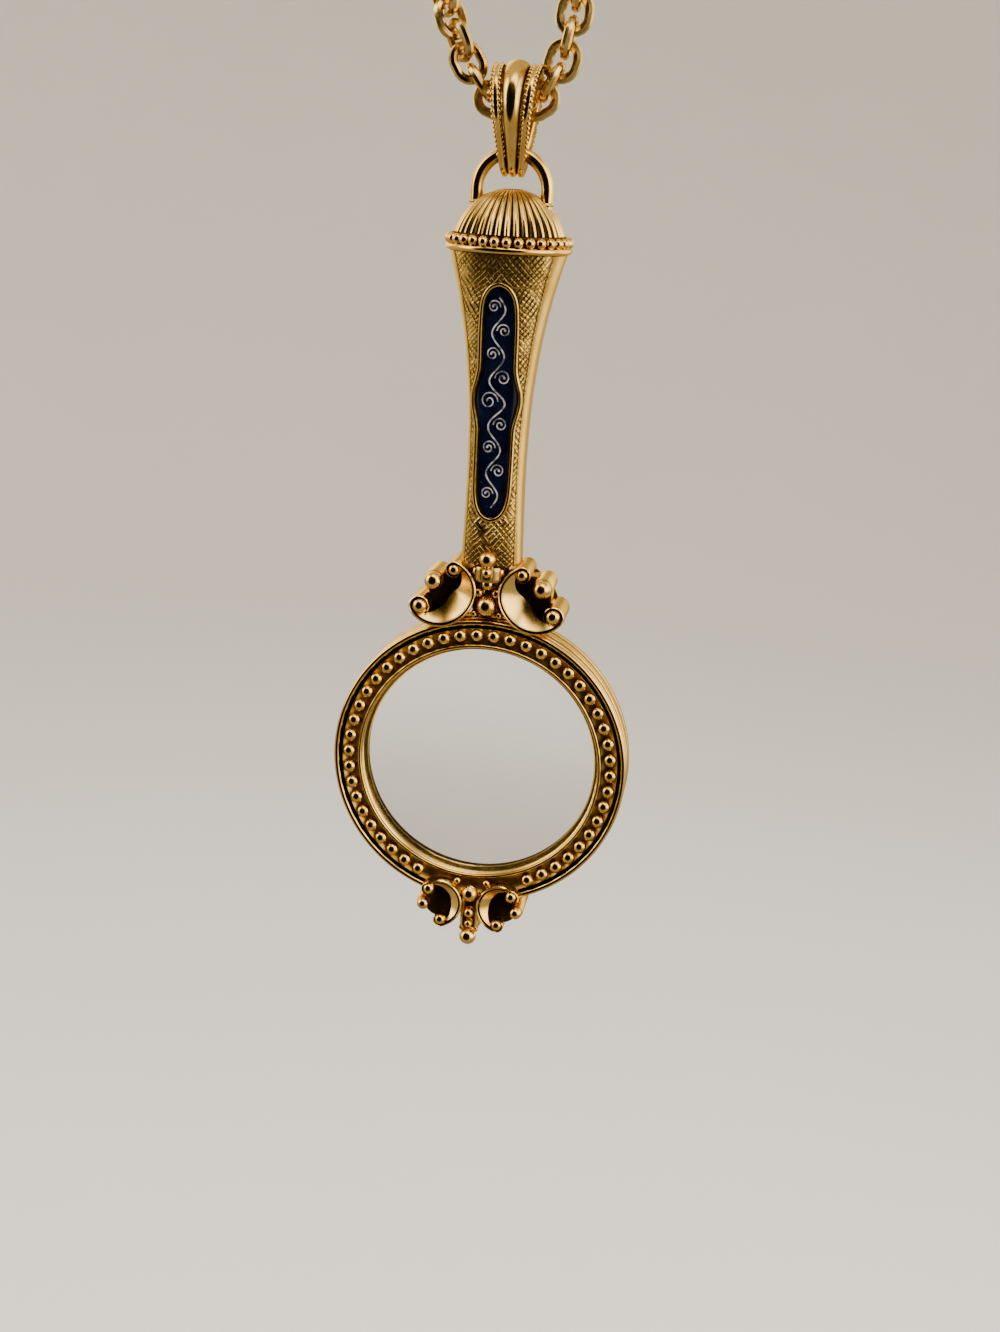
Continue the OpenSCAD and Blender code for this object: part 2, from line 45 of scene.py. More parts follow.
# Sizes in millimetres, as the frame has them. SEAM is the gap between two soldered pieces.
SEAM = 0.05
CHAIN_LENGTH = 457.0
LINK_LENGTH, LINK_WIDTH, LINK_WIRE, LINK_PLAY = 4.1, 3.45, 0.9, 0.2
BARREL_LENGTH, CLASP_WIRE = 8.0, 0.8
NAPE_RISE = 0.41
LEFT_ROLL = 45.0
TURN_Z = -NAPE_RISE * CHAIN_LENGTH
BAIL_ROOM, BAIL_WALL, BAIL_HEIGHT, BAIL_FOOT = 0.75, 1.5, 10.4, 1.2
BAIL_R = LINK_WIDTH / 2 + BAIL_ROOM
BAIL_TOP_W, BAIL_BOTTOM_W = 4.8, 2.1
BAIL_AXIS_Z = TURN_Z
BAIL_TOP_Z = BAIL_AXIS_Z + BAIL_R + BAIL_WALL
BAIL_BOTTOM_Z = BAIL_TOP_Z - BAIL_HEIGHT
LOOP_R, LOOP_WIRE, LOOP_PLAY = 3.3, 1.2, 0.1
LOOP_INNER_R = LOOP_R - LOOP_WIRE / 2
EYE_HALF_W = (BAIL_BOTTOM_W + (BAIL_TOP_W - BAIL_BOTTOM_W) * (BAIL_FOOT + 1) / (BAIL_HEIGHT + 2)) / 2
LOOP_Z = BAIL_BOTTOM_Z + BAIL_FOOT + LOOP_PLAY - math.sqrt(LOOP_INNER_R ** 2 - EYE_HALF_W ** 2)
DOME_R, DOME_H, FLUTES = 5.2, 3.95, 36
DOME_Z = LOOP_Z - SEAM - DOME_H
COLLAR_R, COLLAR_BEAD, COLLAR_BEADS, LIP_H, BEADS_SUNK = 6.1, 1.0, 32, 0.65, 0.05
COLLAR_TOP = DOME_Z - SEAM
COLLAR_Z = COLLAR_TOP - COLLAR_BEAD - LIP_H + BEADS_SUNK
HANDLE_L = 29.6
HANDLE_TOP = COLLAR_Z - SEAM
HANDLE_Z = HANDLE_TOP - HANDLE_L
SHELF_Z = HANDLE_Z - SEAM
PLATE_L, PLATE_W, BULGE_W, PLATE_T, PLATE_SINK, PLATE_RISE = 21.9, 2.95, 4.0, 0.6, 0.15, 4.8
PLATE_Z = HANDLE_Z + PLATE_RISE
FRAME_W, FRAME_H = 0.42, 0.22
RING_R, RING_T, VIEW_R = 14.85, 4.5, 11.55
RING_BEAD, RING_BEADS, BEAD_ROW_R, BEAD_ROW_DEEP = 1.4, 50, 13.3, 0.48
FOOT_ARC = 21.6  # degrees to each side of the ring's lowest point that have no beads
CREST_H = 5.6
LENS_Z = SHELF_Z - CREST_H - RING_R
LENS_R, LENS_CURVE, LENS_EDGE = 11.85, 59.0, 1.3
CREST_R, CREST_PROUD = 3.3, 0.35
FOOT_R, FOOT_PROUD = 2.9, 1.3
SCROLL_BACK = RING_T / 2 - SEAM
PENDANT_MIDDLE = (0, 0, -0.225)  # metres


# ---- shapes

def turns(sides):
    """Angles of a whole turn in equal steps, from 0."""
    return np.arange(sides) * TAU / sides


def unit_length(v):
    """Each row of vectors divided by its length."""
    return v / np.linalg.norm(v, axis=-1, keepdims=True)


def run_along(path):
    """Length of a path up to each of its points."""
    return np.concatenate([[0], np.cumsum(np.linalg.norm(np.diff(path, axis=0), axis=1))])


class Shape:
    """Surfaces gathered into one mesh: points in millimetres, faces, and four values of each point. They
    are age (how blackened, partly by patina and partly by painted shade in hollows, grooves,
    undersides and between parts), dull (how matt), hatch (how deeply hatched) and around (millimetres
    round the handle from the middle of its front)."""

    def __init__(self):
        self.points, self.quads, self.fans, self.polygons = [], [], [], []
        self.values = {"age": [], "around": [], "dull": [], "hatch": []}
        self.count = 0

    def add(self, points, quads=(), fans=(), polygons=(), **values):
        """Takes a grid of points of any shape, and values that fit that grid or stretch to it."""
        points = np.asarray(points, float)
        for kept, given, width in ((self.quads, quads, 4), (self.fans, fans, 3)):
            if len(given):
                kept.append(np.asarray(given, int).reshape(-1, width) + self.count)
        self.polygons += [np.asarray(p, int) + self.count for p in polygons]
        for name, kept in self.values.items():
            value = np.asarray(values.get(name, 0.0), float)
            kept.append(np.broadcast_to(value, points.shape[:-1]).ravel())
        self.points.append(points.reshape(-1, 3))
        self.count += len(self.points[-1])
        return self

    def grid(self, P, wrap_u=False, wrap_v=False, ends=False, **values):
        """Quads between neighbours of a grid of points P[u, v]. A wrapped side joins its last row to its
        first, and ends closes the first and last u rows with one flat face each."""
        nu, nv = P.shape[:2]
        number = np.arange(nu * nv).reshape(nu, nv)
        a = number if wrap_u else number[:-1]
        b = np.roll(number, -1, 0) if wrap_u else number[1:]
        if not wrap_v:
            quads = np.stack([a[:, :-1], a[:, 1:], b[:, 1:], b[:, :-1]], -1)
        else:
            quads = np.stack([a, np.roll(a, -1, 1), np.roll(b, -1, 1), b], -1)
        caps = [number[0][::-1], number[-1]] if ends else []
        return self.add(P, quads.reshape(-1, 4), polygons=caps, **values)

    def copies(self, unit, spots, age):
        """The same small shell at many places: spots is an array of 3 x 4 matrices."""
        points, quads, fans = unit
        moved = np.einsum("kij,nj->kni", spots[:, :, :3], points) + spots[:, None, :, 3]
        step = (np.arange(len(spots)) * len(points))[:, None, None]
        return self.add(moved, quads[None] + step, fans[None] + step, age=age)

    def joined(self):
        """All points, quads and triangles, as three arrays."""
        return (np.concatenate(self.points), np.concatenate(self.quads + [np.zeros((0, 4), int)]),
                np.concatenate(self.fans + [np.zeros((0, 3), int)]))


def put_in_scene(name, data, axes=None, place=None):
    """A new object of this data, with its own x, y and z directions and its place where these are given."""
    made = bpy.data.objects.new(name, data)
    bpy.context.scene.collection.objects.link(made)
    if axes is not None:
        rows = np.vstack([np.column_stack([*axes, place]), [0, 0, 0, 1]])
        made.matrix_world = Matrix(rows.tolist())
    return made


def solid(name, shape, material, sharp=38.0):
    """Puts a shape into a Blender mesh, merges its poles, turns its faces outwards and smooths it up to
    the given angle between faces."""
    points, quads, fans = shape.joined()
    faces = quads.tolist() + fans.tolist() + [p.tolist() for p in shape.polygons]
    mesh = bpy.data.meshes.new(name)
    mesh.from_pydata((points * MM).tolist(), [], faces)
    for key, value in shape.values.items():
        layer = mesh.attributes.new(key, "FLOAT", "POINT")
        layer.data.foreach_set("value", np.concatenate(value).astype(np.float32))
    work = bmesh.new()
    work.from_mesh(mesh)
    bmesh.ops.remove_doubles(work, verts=work.verts, dist=2e-7)
    bmesh.ops.recalc_face_normals(work, faces=work.faces)
    work.to_mesh(mesh)
    work.free()
    mesh.polygons.foreach_set("use_smooth", np.ones(len(mesh.polygons), bool))
    mesh.set_sharp_from_angle(angle=math.radians(sharp))
    mesh.materials.append(material)
    return put_in_scene(name, mesh)


def make(name, shape, material, body, stands_for=(), sharp=38.0):
    """A piece of the part: it rides on a body, has a slot and stands for the named CAD nodes."""
    piece = solid(name, shape, material, sharp)
    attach(piece, body)
    if stands_for:
        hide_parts(*stands_for)


def ball(sides=12, rows=7):
    """Unit sphere: rings of points at equal steps of polar angle between two single poles."""
    polar = np.linspace(0, math.pi, rows + 1)[1:-1, None]
    turn = turns(sides)[None]
    flat = np.sin(polar)
    ring = np.stack([flat * np.cos(turn), flat * np.sin(turn), np.cos(polar) + 0 * turn], -1)
    points = np.concatenate([ring.reshape(-1, 3), [[0, 0, 1], [0, 0, -1]]])
    number = np.arange((rows - 1) * sides).reshape(rows - 1, sides)
    along = np.roll(number, -1, 1)
    quads = np.stack([number[:-1], number[1:], along[1:], along[:-1]], -1).reshape(-1, 4)
    top, bottom = len(points) - 2, len(points) - 1
    fans = np.concatenate([np.stack([np.full(sides, top), number[0], along[0]], -1),
                           np.stack([np.full(sides, bottom), along[-1], number[-1]], -1)])
    return points, quads, fans


BALL = ball()
FINE_BALL = ball(20, 12)
TINY_BALL = ball(8, 5)


def balls(shape, centres, radii, back=(0, 1, 0), unit=BALL, dark=0.75):
    """Round beads at the centres, darkened by painted shade of up to dark towards the side back, which they
    stand on.
    """
    centres = np.asarray(centres, float).reshape(-1, 3)
    radii = np.broadcast_to(np.asarray(radii, float), (len(centres),))
    back = np.broadcast_to(np.asarray(back, float), centres.shape)
    spots = np.zeros((len(centres), 3, 4))
    spots[:, [0, 1, 2], [0, 1, 2]] = radii[:, None]
    spots[:, :, 3] = centres
    sunk = np.einsum("ki,ni->kn", back, unit[0])
    return shape.copies(unit, spots, age=dark * np.clip((sunk - 0.05) / 0.7, 0, 1))


def sweep(shape, path, half_a, half_b, up, sides=12, closed=False, power=2.0, age=0.0):
    """A rounded section carried along a path: at each point it reaches half_a across the path and
    half_b along up, between them as a superellipse of the given power. The patina and painted shade is
    one number, or one for each side of the section."""
    path = np.asarray(path, float)
    up = np.broadcast_to(np.asarray(up, float), path.shape)
    ahead = np.roll(path, -1, 0) - np.roll(path, 1, 0) if closed else np.gradient(path, axis=0)
    ahead = unit_length(ahead)
    up = unit_length(up - ahead * (up * ahead).sum(1, keepdims=True))
    across = np.cross(up, ahead)
    c, s = np.cos(turns(sides)), np.sin(turns(sides))
    c, s = np.sign(c) * np.abs(c) ** (2 / power), np.sign(s) * np.abs(s) ** (2 / power)
    half_a, half_b = (np.broadcast_to(np.asarray(half, float), (len(path),))[:, None, None]
                      for half in (half_a, half_b))
    P = path[:, None] + half_a * c[:, None] * across[:, None] + half_b * s[:, None] * up[:, None]
    return shape.grid(P, wrap_u=closed, wrap_v=True, ends=not closed, age=age)


def lathe(shape, profile, age, sides, axis="z", centre=(0, 0, 0), dull=0.0):
    """A closed profile of (radius, height) points turned round an axis, with the patina and painted shade
    of each point. Along y, height counts to the back."""
    profile = np.asarray(profile, float)
    turn = turns(sides)[:, None]
    r, h = profile[:, 0], profile[:, 1] + 0 * turn
    a, b = r * np.cos(turn), r * np.sin(turn)
    P = np.stack([a, b, h] if axis == "z" else [a, h, b], -1) + np.asarray(centre, float)
    return shape.grid(P, wrap_u=True, wrap_v=True, age=age, dull=dull)


def arc(cx, cy, r, start, stop, steps):
    """Points of a circle between two angles in degrees."""
    turn = np.radians(np.linspace(start, stop, steps))
    return np.stack([cx + r * np.cos(turn), cy + r * np.sin(turn)], -1)


def smooth(t):
    """An even rise from 0 to 1 with level ends: 3 t squared less 2 t cubed."""
    t = np.clip(t, 0, 1)
    return t * t * (3 - 2 * t)


def curve_through(knots, x):
    """Smooth curve through (position, value) rows, with slopes that never overshoot a row."""
    knots = np.asarray(knots, float)
    kx, ky = knots[:, 0], knots[:, 1]
    step = np.diff(kx)
    slope = np.diff(ky) / step
    inner = np.where(slope[:-1] * slope[1:] > 0,
                     2 * slope[:-1] * slope[1:] / (slope[:-1] + slope[1:] + 1e-12 * np.sign(slope[:-1])), 0)
    m = np.concatenate([[slope[0]], inner, [slope[-1]]])
    x = np.clip(x, kx[0], kx[-1])
    i = np.clip(np.searchsorted(kx, x, side="right") - 1, 0, len(step) - 1)
    t = (x - kx[i]) / step[i]
    return (ky[i] * (1 + 2 * t) * (1 - t) ** 2 + ky[i + 1] * t * t * (3 - 2 * t)
            + step[i] * (m[i] * t * (1 - t) ** 2 - m[i + 1] * t * t * (1 - t)))


# ---- materials

class Nodes:
    """Short ways to lay the nodes of a material, or of the world."""

    def __init__(self, owner, shader="Principled BSDF", place="Object"):
        owner.use_nodes = True
        self.owner, self.tree = owner, owner.node_tree
        self.shader = self.tree.nodes[shader]
        self.place = self.node("ShaderNodeTexCoord").outputs[place]

    def node(self, kind, **settings):
        made = self.tree.nodes.new(kind)
        for key, value in settings.items():
            setattr(made, key, value)
        return made

    def put(self, socket, value):
        if isinstance(value, bpy.types.NodeSocket):
            self.tree.links.new(value, socket)
        else:
            socket.default_value = value

    def maths(self, operation, a, b=0.0, clamp=False):
        made = self.node("ShaderNodeMath", operation=operation, use_clamp=clamp)
        self.put(made.inputs[0], a)
        self.put(made.inputs[1], b)
        return made.outputs[0]

    def attribute(self, name):
        return self.node("ShaderNodeAttribute", attribute_name=name).outputs["Fac"]

    def noise(self, scale, detail=3.0, rough=0.55):
        made = self.node("ShaderNodeTexNoise")
        for key, given in (("Vector", self.place), ("Scale", scale), ("Detail", detail),
                           ("Roughness", rough)):
            self.put(made.inputs[key], given)
        return made.outputs["Fac"]

    def ramp(self, value, low, high, out_low=0.0, out_high=1.0, kind="LINEAR"):
        made = self.node("ShaderNodeMapRange", interpolation_type=kind)
        for key, given in (("Value", value), ("From Min", low), ("From Max", high),
                           ("To Min", out_low), ("To Max", out_high)):
            self.put(made.inputs[key], given)
        return made.outputs[0]

    def mix(self, share, a, b):
        made = self.node("ShaderNodeMix", data_type="RGBA")
        self.put(made.inputs["Factor"], share)
        self.put(made.inputs["A"], a if isinstance(a, bpy.types.NodeSocket) else (*a, 1))
        self.put(made.inputs["B"], b if isinstance(b, bpy.types.NodeSocket) else (*b, 1))
        return made.outputs["Result"]

    def bump(self, height, distance, strength=1.0):
        made = self.node("ShaderNodeBump")
        for key, given in (("Strength", strength), ("Distance", distance), ("Height", height)):
            self.put(made.inputs[key], given)
        return made.outputs["Normal"]

    def set(self, **sockets):
        for key, value in sockets.items():
            self.put(self.shader.inputs[key.replace("_", " ")], value)
        return self.owner


def new_material(name):
    """A new material under its short ways."""
    return Nodes(bpy.data.materials.new(name))


# the third colour is the near black of patina and of painted shade in hollows
GOLD_BRIGHT, GOLD_WARM, GOLD_PATINA_AND_SHADE = (1.0, 0.68, 0.2), (0.87, 0.51, 0.115), (0.05, 0.028, 0.01)
CUT_DARK = (0.1, 0.055, 0.02)
GRAZING_TINT = (1.0, 0.8, 0.42, 1.0)  # keeps reflections at low angles golden


def antique_gold(name, bright=GOLD_BRIGHT, warm=GOLD_WARM, polish=0.13, hatch=False):
    """Yellow gold, brighter and redder in soft patches, blackened where the age attribute is
    high (patina, and painted shade in hollows and between parts) and rougher where dull is, with a soft
    unevenness. Hatched gold adds two families of fine cut lines across each other."""
    n = new_material(name)
    patches = n.noise(420, 4)
    grime = n.noise(1900, 5, 0.7)
    grime = n.maths("MULTIPLY", n.maths("SUBTRACT", grime, 0.5), 0.55)
    # blackening: patina, and painted shade in hollows and between parts, with random grime over it
    age = n.ramp(n.maths("ADD", n.attribute("age"), grime), 0.18, 0.82)
    age = n.maths("MULTIPLY", age, 0.97, clamp=True)
    colour = n.mix(n.ramp(patches, 0.35, 0.68), bright, warm)
    rough = n.maths("ADD", n.ramp(patches, 0.3, 0.7, polish, polish + 0.09),
                    n.maths("MULTIPLY", n.attribute("dull"), 0.14))
    relief = n.maths("MULTIPLY", n.noise(900, 3), 0.35)
    depth = 0.00003
    if hatch:
        around, diagonal = n.attribute("around"), 1.4142
        split = n.node("ShaderNodeSeparateXYZ")
        n.put(split.inputs[0], n.place)
        height = n.maths("MULTIPLY", split.outputs["Z"], 1 / MM)
        wander = n.maths("MULTIPLY", n.noise(260, 2), 1.1)
        cuts = []
        for lean, pitch in ((1.0, 0.44), (-1.0, 0.4)):
            line = n.maths("ADD", n.maths("MULTIPLY", around, lean), n.maths("ADD", height, wander))
            wave = n.maths("SINE", n.maths("MULTIPLY", line, TAU / pitch / diagonal))
            strong = n.ramp(n.noise(700 + 90 * lean, 2), 0.36, 0.6)
            cuts.append(n.maths("MULTIPLY", n.maths("POWER", n.ramp(wave, -0.2, 1.0), 1.6), strong))
        cut = n.maths("MULTIPLY", n.maths("MAXIMUM", *cuts), n.attribute("hatch"))
        colour = n.mix(n.maths("MULTIPLY", cut, 0.86), colour, CUT_DARK)
        rough = n.maths("ADD", rough, n.maths("MULTIPLY", n.attribute("hatch"), 0.05))
        relief = n.maths("SUBTRACT", relief, n.maths("MULTIPLY", cut, 1.6))
        depth = 0.0001
    return n.set(Base_Color=n.mix(age, colour, GOLD_PATINA_AND_SHADE), Metallic=1.0, Specular_Tint=GRAZING_TINT,
                 Roughness=n.maths("ADD", rough, n.maths("MULTIPLY", age, 0.3)),
                 Normal=n.bump(relief, depth, 0.8))


def dark_enamel():
    """Blue-black glassy enamel with a faint cloudy depth and a few pale specks."""
    n = new_material("enamel_blue_black")
    cloud = n.noise(500, 4)
    speck = n.ramp(n.noise(5200, 1), 0.7, 0.78, 0.0, 0.2)
    colour = n.mix(n.ramp(cloud, 0.35, 0.7), (0.001, 0.0015, 0.008), (0.003, 0.0045, 0.02))
    return n.set(Base_Color=n.mix(speck, colour, (0.1, 0.12, 0.2)),
                 Roughness=n.ramp(cloud, 0.3, 0.7, 0.12, 0.22), Coat_Weight=0.4, Coat_Roughness=0.05,
                 Specular_IOR_Level=0.35, Normal=n.bump(n.noise(1500, 2), 0.00001, 0.6))


def worn_silver():
    """Grey, half rubbed-off lines on the enamel."""
    n = new_material("worn_line_silver")
    rub = n.ramp(n.noise(1600, 4), 0.38, 0.62)
    return n.set(Base_Color=n.mix(rub, (0.06, 0.065, 0.09), (0.62, 0.62, 0.62)), Metallic=0.35,
                 Roughness=n.ramp(rub, 0.0, 1.0, 0.5, 0.3), Normal=n.bump(n.noise(2500, 2), 0.00001))


def clear_glass():
    """Clear crown glass with the faintest unevenness in its polish."""
    n = new_material("lens_crown_glass")
    return n.set(Base_Color=(0.94, 0.955, 0.95, 1.0), Transmission_Weight=1.0, IOR=1.5,
                 Roughness=n.ramp(n.noise(160, 3), 0.35, 0.75, 0.0, 0.02))


def floor_paper():
    """Matt off-white, hardly clouded."""
    n = new_material("pale_floor")
    return n.set(Base_Color=n.mix(n.noise(3), (0.78, 0.76, 0.74), (0.82, 0.8, 0.78)), Roughness=0.85)


POLISHED = antique_gold("antique_gold_polished")
CHAIN_GOLD = antique_gold("antique_gold_chain", (0.86, 0.59, 0.21), (0.6, 0.36, 0.1), polish=0.17)
HATCHED = antique_gold("antique_gold_hatched", hatch=True, polish=0.15)
ENAMEL, SILVER, GLASS = dark_enamel(), worn_silver(), clear_glass()


# ---- chain

# Corners of the two strands' routes from the turn under the bail: the first rows in millimetres, the
# others in shares of the chain's length
TURN_RIGHT = [[0, 0], [1.5, 0.15], [2.6, 0.85], [3.3, 2], [3.85, 3.5]]
TURN_LEFT = [[0, 0], [1.5, 0.12], [2.7, 0.6], [3.6, 1.75], [4.6, 3.35]]
STRAND_RIGHT = [[0.0125, 0.03], [0.03, 0.079], [0.07, 0.167], [0.114, 0.245], [0.134, 0.305],
                [0.118, 0.362], [0.07, 0.398]]
STRAND_LEFT = [[0.0195, 0.0295], [0.045, 0.076], [0.083, 0.161], [0.117, 0.243], [0.134, 0.305],
               [0.118, 0.362], [0.07, 0.398]]
CLASP_RING_R = CLASP_WIRE / 2 + LINK_WIRE / 2 + 0.5
CLASP_END = BARREL_LENGTH / 2 + CLASP_RING_R
LINK_CHORD = LINK_LENGTH - LINK_WIRE


def route(turn, strand):
    """Points along cubic arcs between the route's corners, and the run length at each. The tangent at a
    corner leans towards the nearer of its two neighbours."""
    steps = 14
    p = np.array(turn + [[x * CHAIN_LENGTH, z * CHAIN_LENGTH] for x, z in strand]
                 + [[CLASP_END, NAPE_RISE * CHAIN_LENGTH]], float)
    d = np.linalg.norm(np.diff(p, axis=0), axis=1)[:, None]
    v = np.diff(p, axis=0) / d
    m = np.concatenate([[[1, 0]], (v[:-1] * d[1:] + v[1:] * d[:-1]) / (d[:-1] + d[1:]), [[-1, 0]]])
    t = (np.arange(steps) / steps)[None, :, None]
    u = 1 - t
    a, b, ma, mb, d = (q[:, None] for q in (p[:-1], p[1:], m[:-1], m[1:], d))
    arcs = a * u * u * (1 + 2 * t) + b * t * t * (3 - 2 * t) + (ma * t * u * u - mb * t * t * u) * d
    points = np.concatenate([arcs.reshape(-1, 2), p[-1:]])
    return points, run_along(points)


def at(way, s):
    """The route's point at a run length; below zero it goes on as its own mirror image."""
    points, run = way
    s = np.asarray(s, float)
    x, z = (np.interp(np.abs(s), run, points[:, k]) for k in (0, 1))
    return np.stack([np.sign(s) * x, z], -1)


def strand_links(way, side, roll):
    """The two ends and the roll of every link of a strand. An even number of links of equal pitch ends in
    the clasp's ring. The extra roll comes in over some links at the start and goes out over more of them
    near the end."""
    coming_in, going_out, plain_end = 4, 12, 2
    reach = CLASP_RING_R - LINK_WIRE / 2 - CLASP_WIRE / 2 - LINK_PLAY
    free = way[1][-1] - LINK_CHORD / 2 - reach
    count = 2 * round(free / (LINK_LENGTH - 2 * LINK_WIRE - LINK_PLAY) / 2)
    pitch = free / count
    i = np.arange(1, count + 1)
    half = np.where(i % 2 == 0, LINK_CHORD, 2 * pitch - LINK_CHORD) / 2
    flip = np.array([side, 1.0])
    twist = roll * (smooth((i - 1) / coming_in) - smooth((i - count + plain_end + going_out) / going_out))
    return at(way, i * pitch - half) * flip, at(way, i * pitch + half) * flip, 90 * (i % 2) + twist


def link_unit():
    """A link lying flat: a round section carried along two straights and two half circles."""
    around, sides = 20, 8
    bend, straight = (LINK_WIDTH - LINK_WIRE) / 2, (LINK_LENGTH - LINK_WIDTH) / 2
    turn = (np.arange(around) + 0.5) * TAU / around
    x = bend * np.cos(turn) + straight * np.sign(np.cos(turn))
    path = np.stack([x, bend * np.sin(turn), 0 * turn], -1)
    made = sweep(Shape(), path, LINK_WIRE / 2, LINK_WIRE / 2, (0, 0, 1), sides, closed=True)
    return made.joined()


def chain(name, ends, stands_for):
    """Links turned into place: along the chord between their ends, rolled about it."""
    a, b, roll = ends
    mid, way = (a + b) / 2, b - a
    along = unit_length(np.stack([way[:, 0], 0 * way[:, 0], way[:, 1]], -1))
    across = np.broadcast_to([0.0, 1.0, 0.0], along.shape)
    over = np.cross(along, across)
    c, s = np.cos(np.radians(roll))[:, None], np.sin(np.radians(roll))[:, None]
    spots = np.stack([along, across * c + over * s, over * c - across * s,
                      np.stack([mid[:, 0], 0 * mid[:, 0], TURN_Z + mid[:, 1]], -1)], -1)
    unit = link_unit()
    # painted shade on the inside of each link, where the links it holds shade it
    inward = 1 - np.clip((np.linalg.norm(unit[0][:, :2], axis=1) - 0.75) / 0.55, 0, 1)
    make(name, Shape().copies(unit, spots, age=0.62 * inward), CHAIN_GOLD, "chain", stands_for)


right_way, left_way = route(TURN_RIGHT, STRAND_RIGHT), route(TURN_LEFT, STRAND_LEFT)
middle = (at(left_way, [LINK_CHORD / 2]) * [-1, 1], at(right_way, [LINK_CHORD / 2]), np.zeros(1))
chain("chain_left_links", strand_links(left_way, -1, LEFT_ROLL), ["chain_left"])
chain("chain_right_links", tuple(np.concatenate(p) for p in zip(middle, strand_links(right_way, 1, 0))),
      ["chain_right"])


# ---- bail

def drop(r_top, z_top, r_bottom, z_bottom, steps):
    """A drop outline in the YZ plane: a large arc above, a small one below and straights between."""
    lean = math.degrees(math.asin((r_bottom - r_top) / (z_top - z_bottom)))
    top = arc(0, z_top, r_top, lean, 180 - lean, steps)
    bottom = arc(0, z_bottom, r_bottom, 180 - lean, 360 + lean, steps)
    between = np.linspace(0, 1, steps // 2 + 2)[1:-1, None]
    return np.concatenate([top, top[-1] + (bottom[0] - top[-1]) * between, bottom,
                           bottom[-1] + (top[0] - bottom[-1]) * between])


def bail():
    """Three strands between an inner and an outer drop: each strand's section reaches from one drop to the
    other and from its inner to its outer edge, which draw together towards the bottom. Two rows of fine
    beads stand on each outer strand."""
    steps, sides, foot_r, eye_r = 36, 20, BAIL_FOOT * 0.8, LOOP_WIRE / 2 + 0.3
    bead_pitch, bead_r, beads_low = 0.43, 0.21, BAIL_BOTTOM_Z + 2.2
    inner = drop(BAIL_R, BAIL_AXIS_Z, eye_r, BAIL_BOTTOM_Z + BAIL_FOOT + eye_r, steps)
    shape = Shape()

    def strand(edges_top, edges_bottom, fall, power, dark):
        """One strand between its edges across at the top and at the bottom. Its crest is lower than the
        middle one's by fall, and dark is the painted shade on its sides, where it meets the next strand."""
        outer = drop(BAIL_R + BAIL_WALL - fall, BAIL_AXIS_Z, foot_r, BAIL_BOTTOM_Z + foot_r, steps)
        mid, reach = (inner + outer) / 2, outer - inner
        share = np.clip((mid[:, 1] - BAIL_BOTTOM_Z) / BAIL_HEIGHT, 0, 1)[:, None]
        edges = np.array(edges_bottom) + (np.array(edges_top) - np.array(edges_bottom)) * share
        path = np.stack([edges.mean(1), mid[:, 0], mid[:, 1]], -1)
        up = np.stack([0 * share[:, 0], reach[:, 0], reach[:, 1]], -1)
        wide, deep = np.abs(edges[:, 1] - edges[:, 0]) / 2, np.linalg.norm(reach, axis=1) / 2
        turn = turns(sides)
        # painted shade on the sides and, a little, on the inner face round the chain
        side_dark = dark * np.abs(np.cos(turn)) ** 3 + 0.25 * (np.sin(turn) < -0.5)
        sweep(shape, path, wide, deep, up, sides, closed=True, power=power, age=side_dark)
        return path, unit_length(up), wide, deep

    strand((-1.16, 1.16), (-0.4, 0.4), 0.0, 2.0, 0.9)
    for side in (-1, 1):
        top, bottom = (side * 1.42, side * 2.36), (side * 0.36, side * 1.03)
        path, up, wide, deep = strand(top, bottom, 0.42, 2.4, 0.8)
        run = run_along(path)
        spots = np.arange(0.2, run[-1], bead_pitch)
        centre, rise = (np.stack([np.interp(spots, run, v) for v in rows.T], -1) for rows in (path, up))
        w, d = np.interp(spots, run, wide), np.interp(spots, run, deep)
        keep = centre[:, 2] > beads_low
        for edge in (-1, 1):
            at_edge = centre + rise * (0.78 * d)[:, None]
            at_edge[:, 0] += edge * 0.72 * w
            balls(shape, at_edge[keep], bead_r, -rise[keep], TINY_BALL, dark=0.9)
    make("bail_strands", shape, POLISHED, "bail", ["bail"])


bail()


# ---- cap and collar

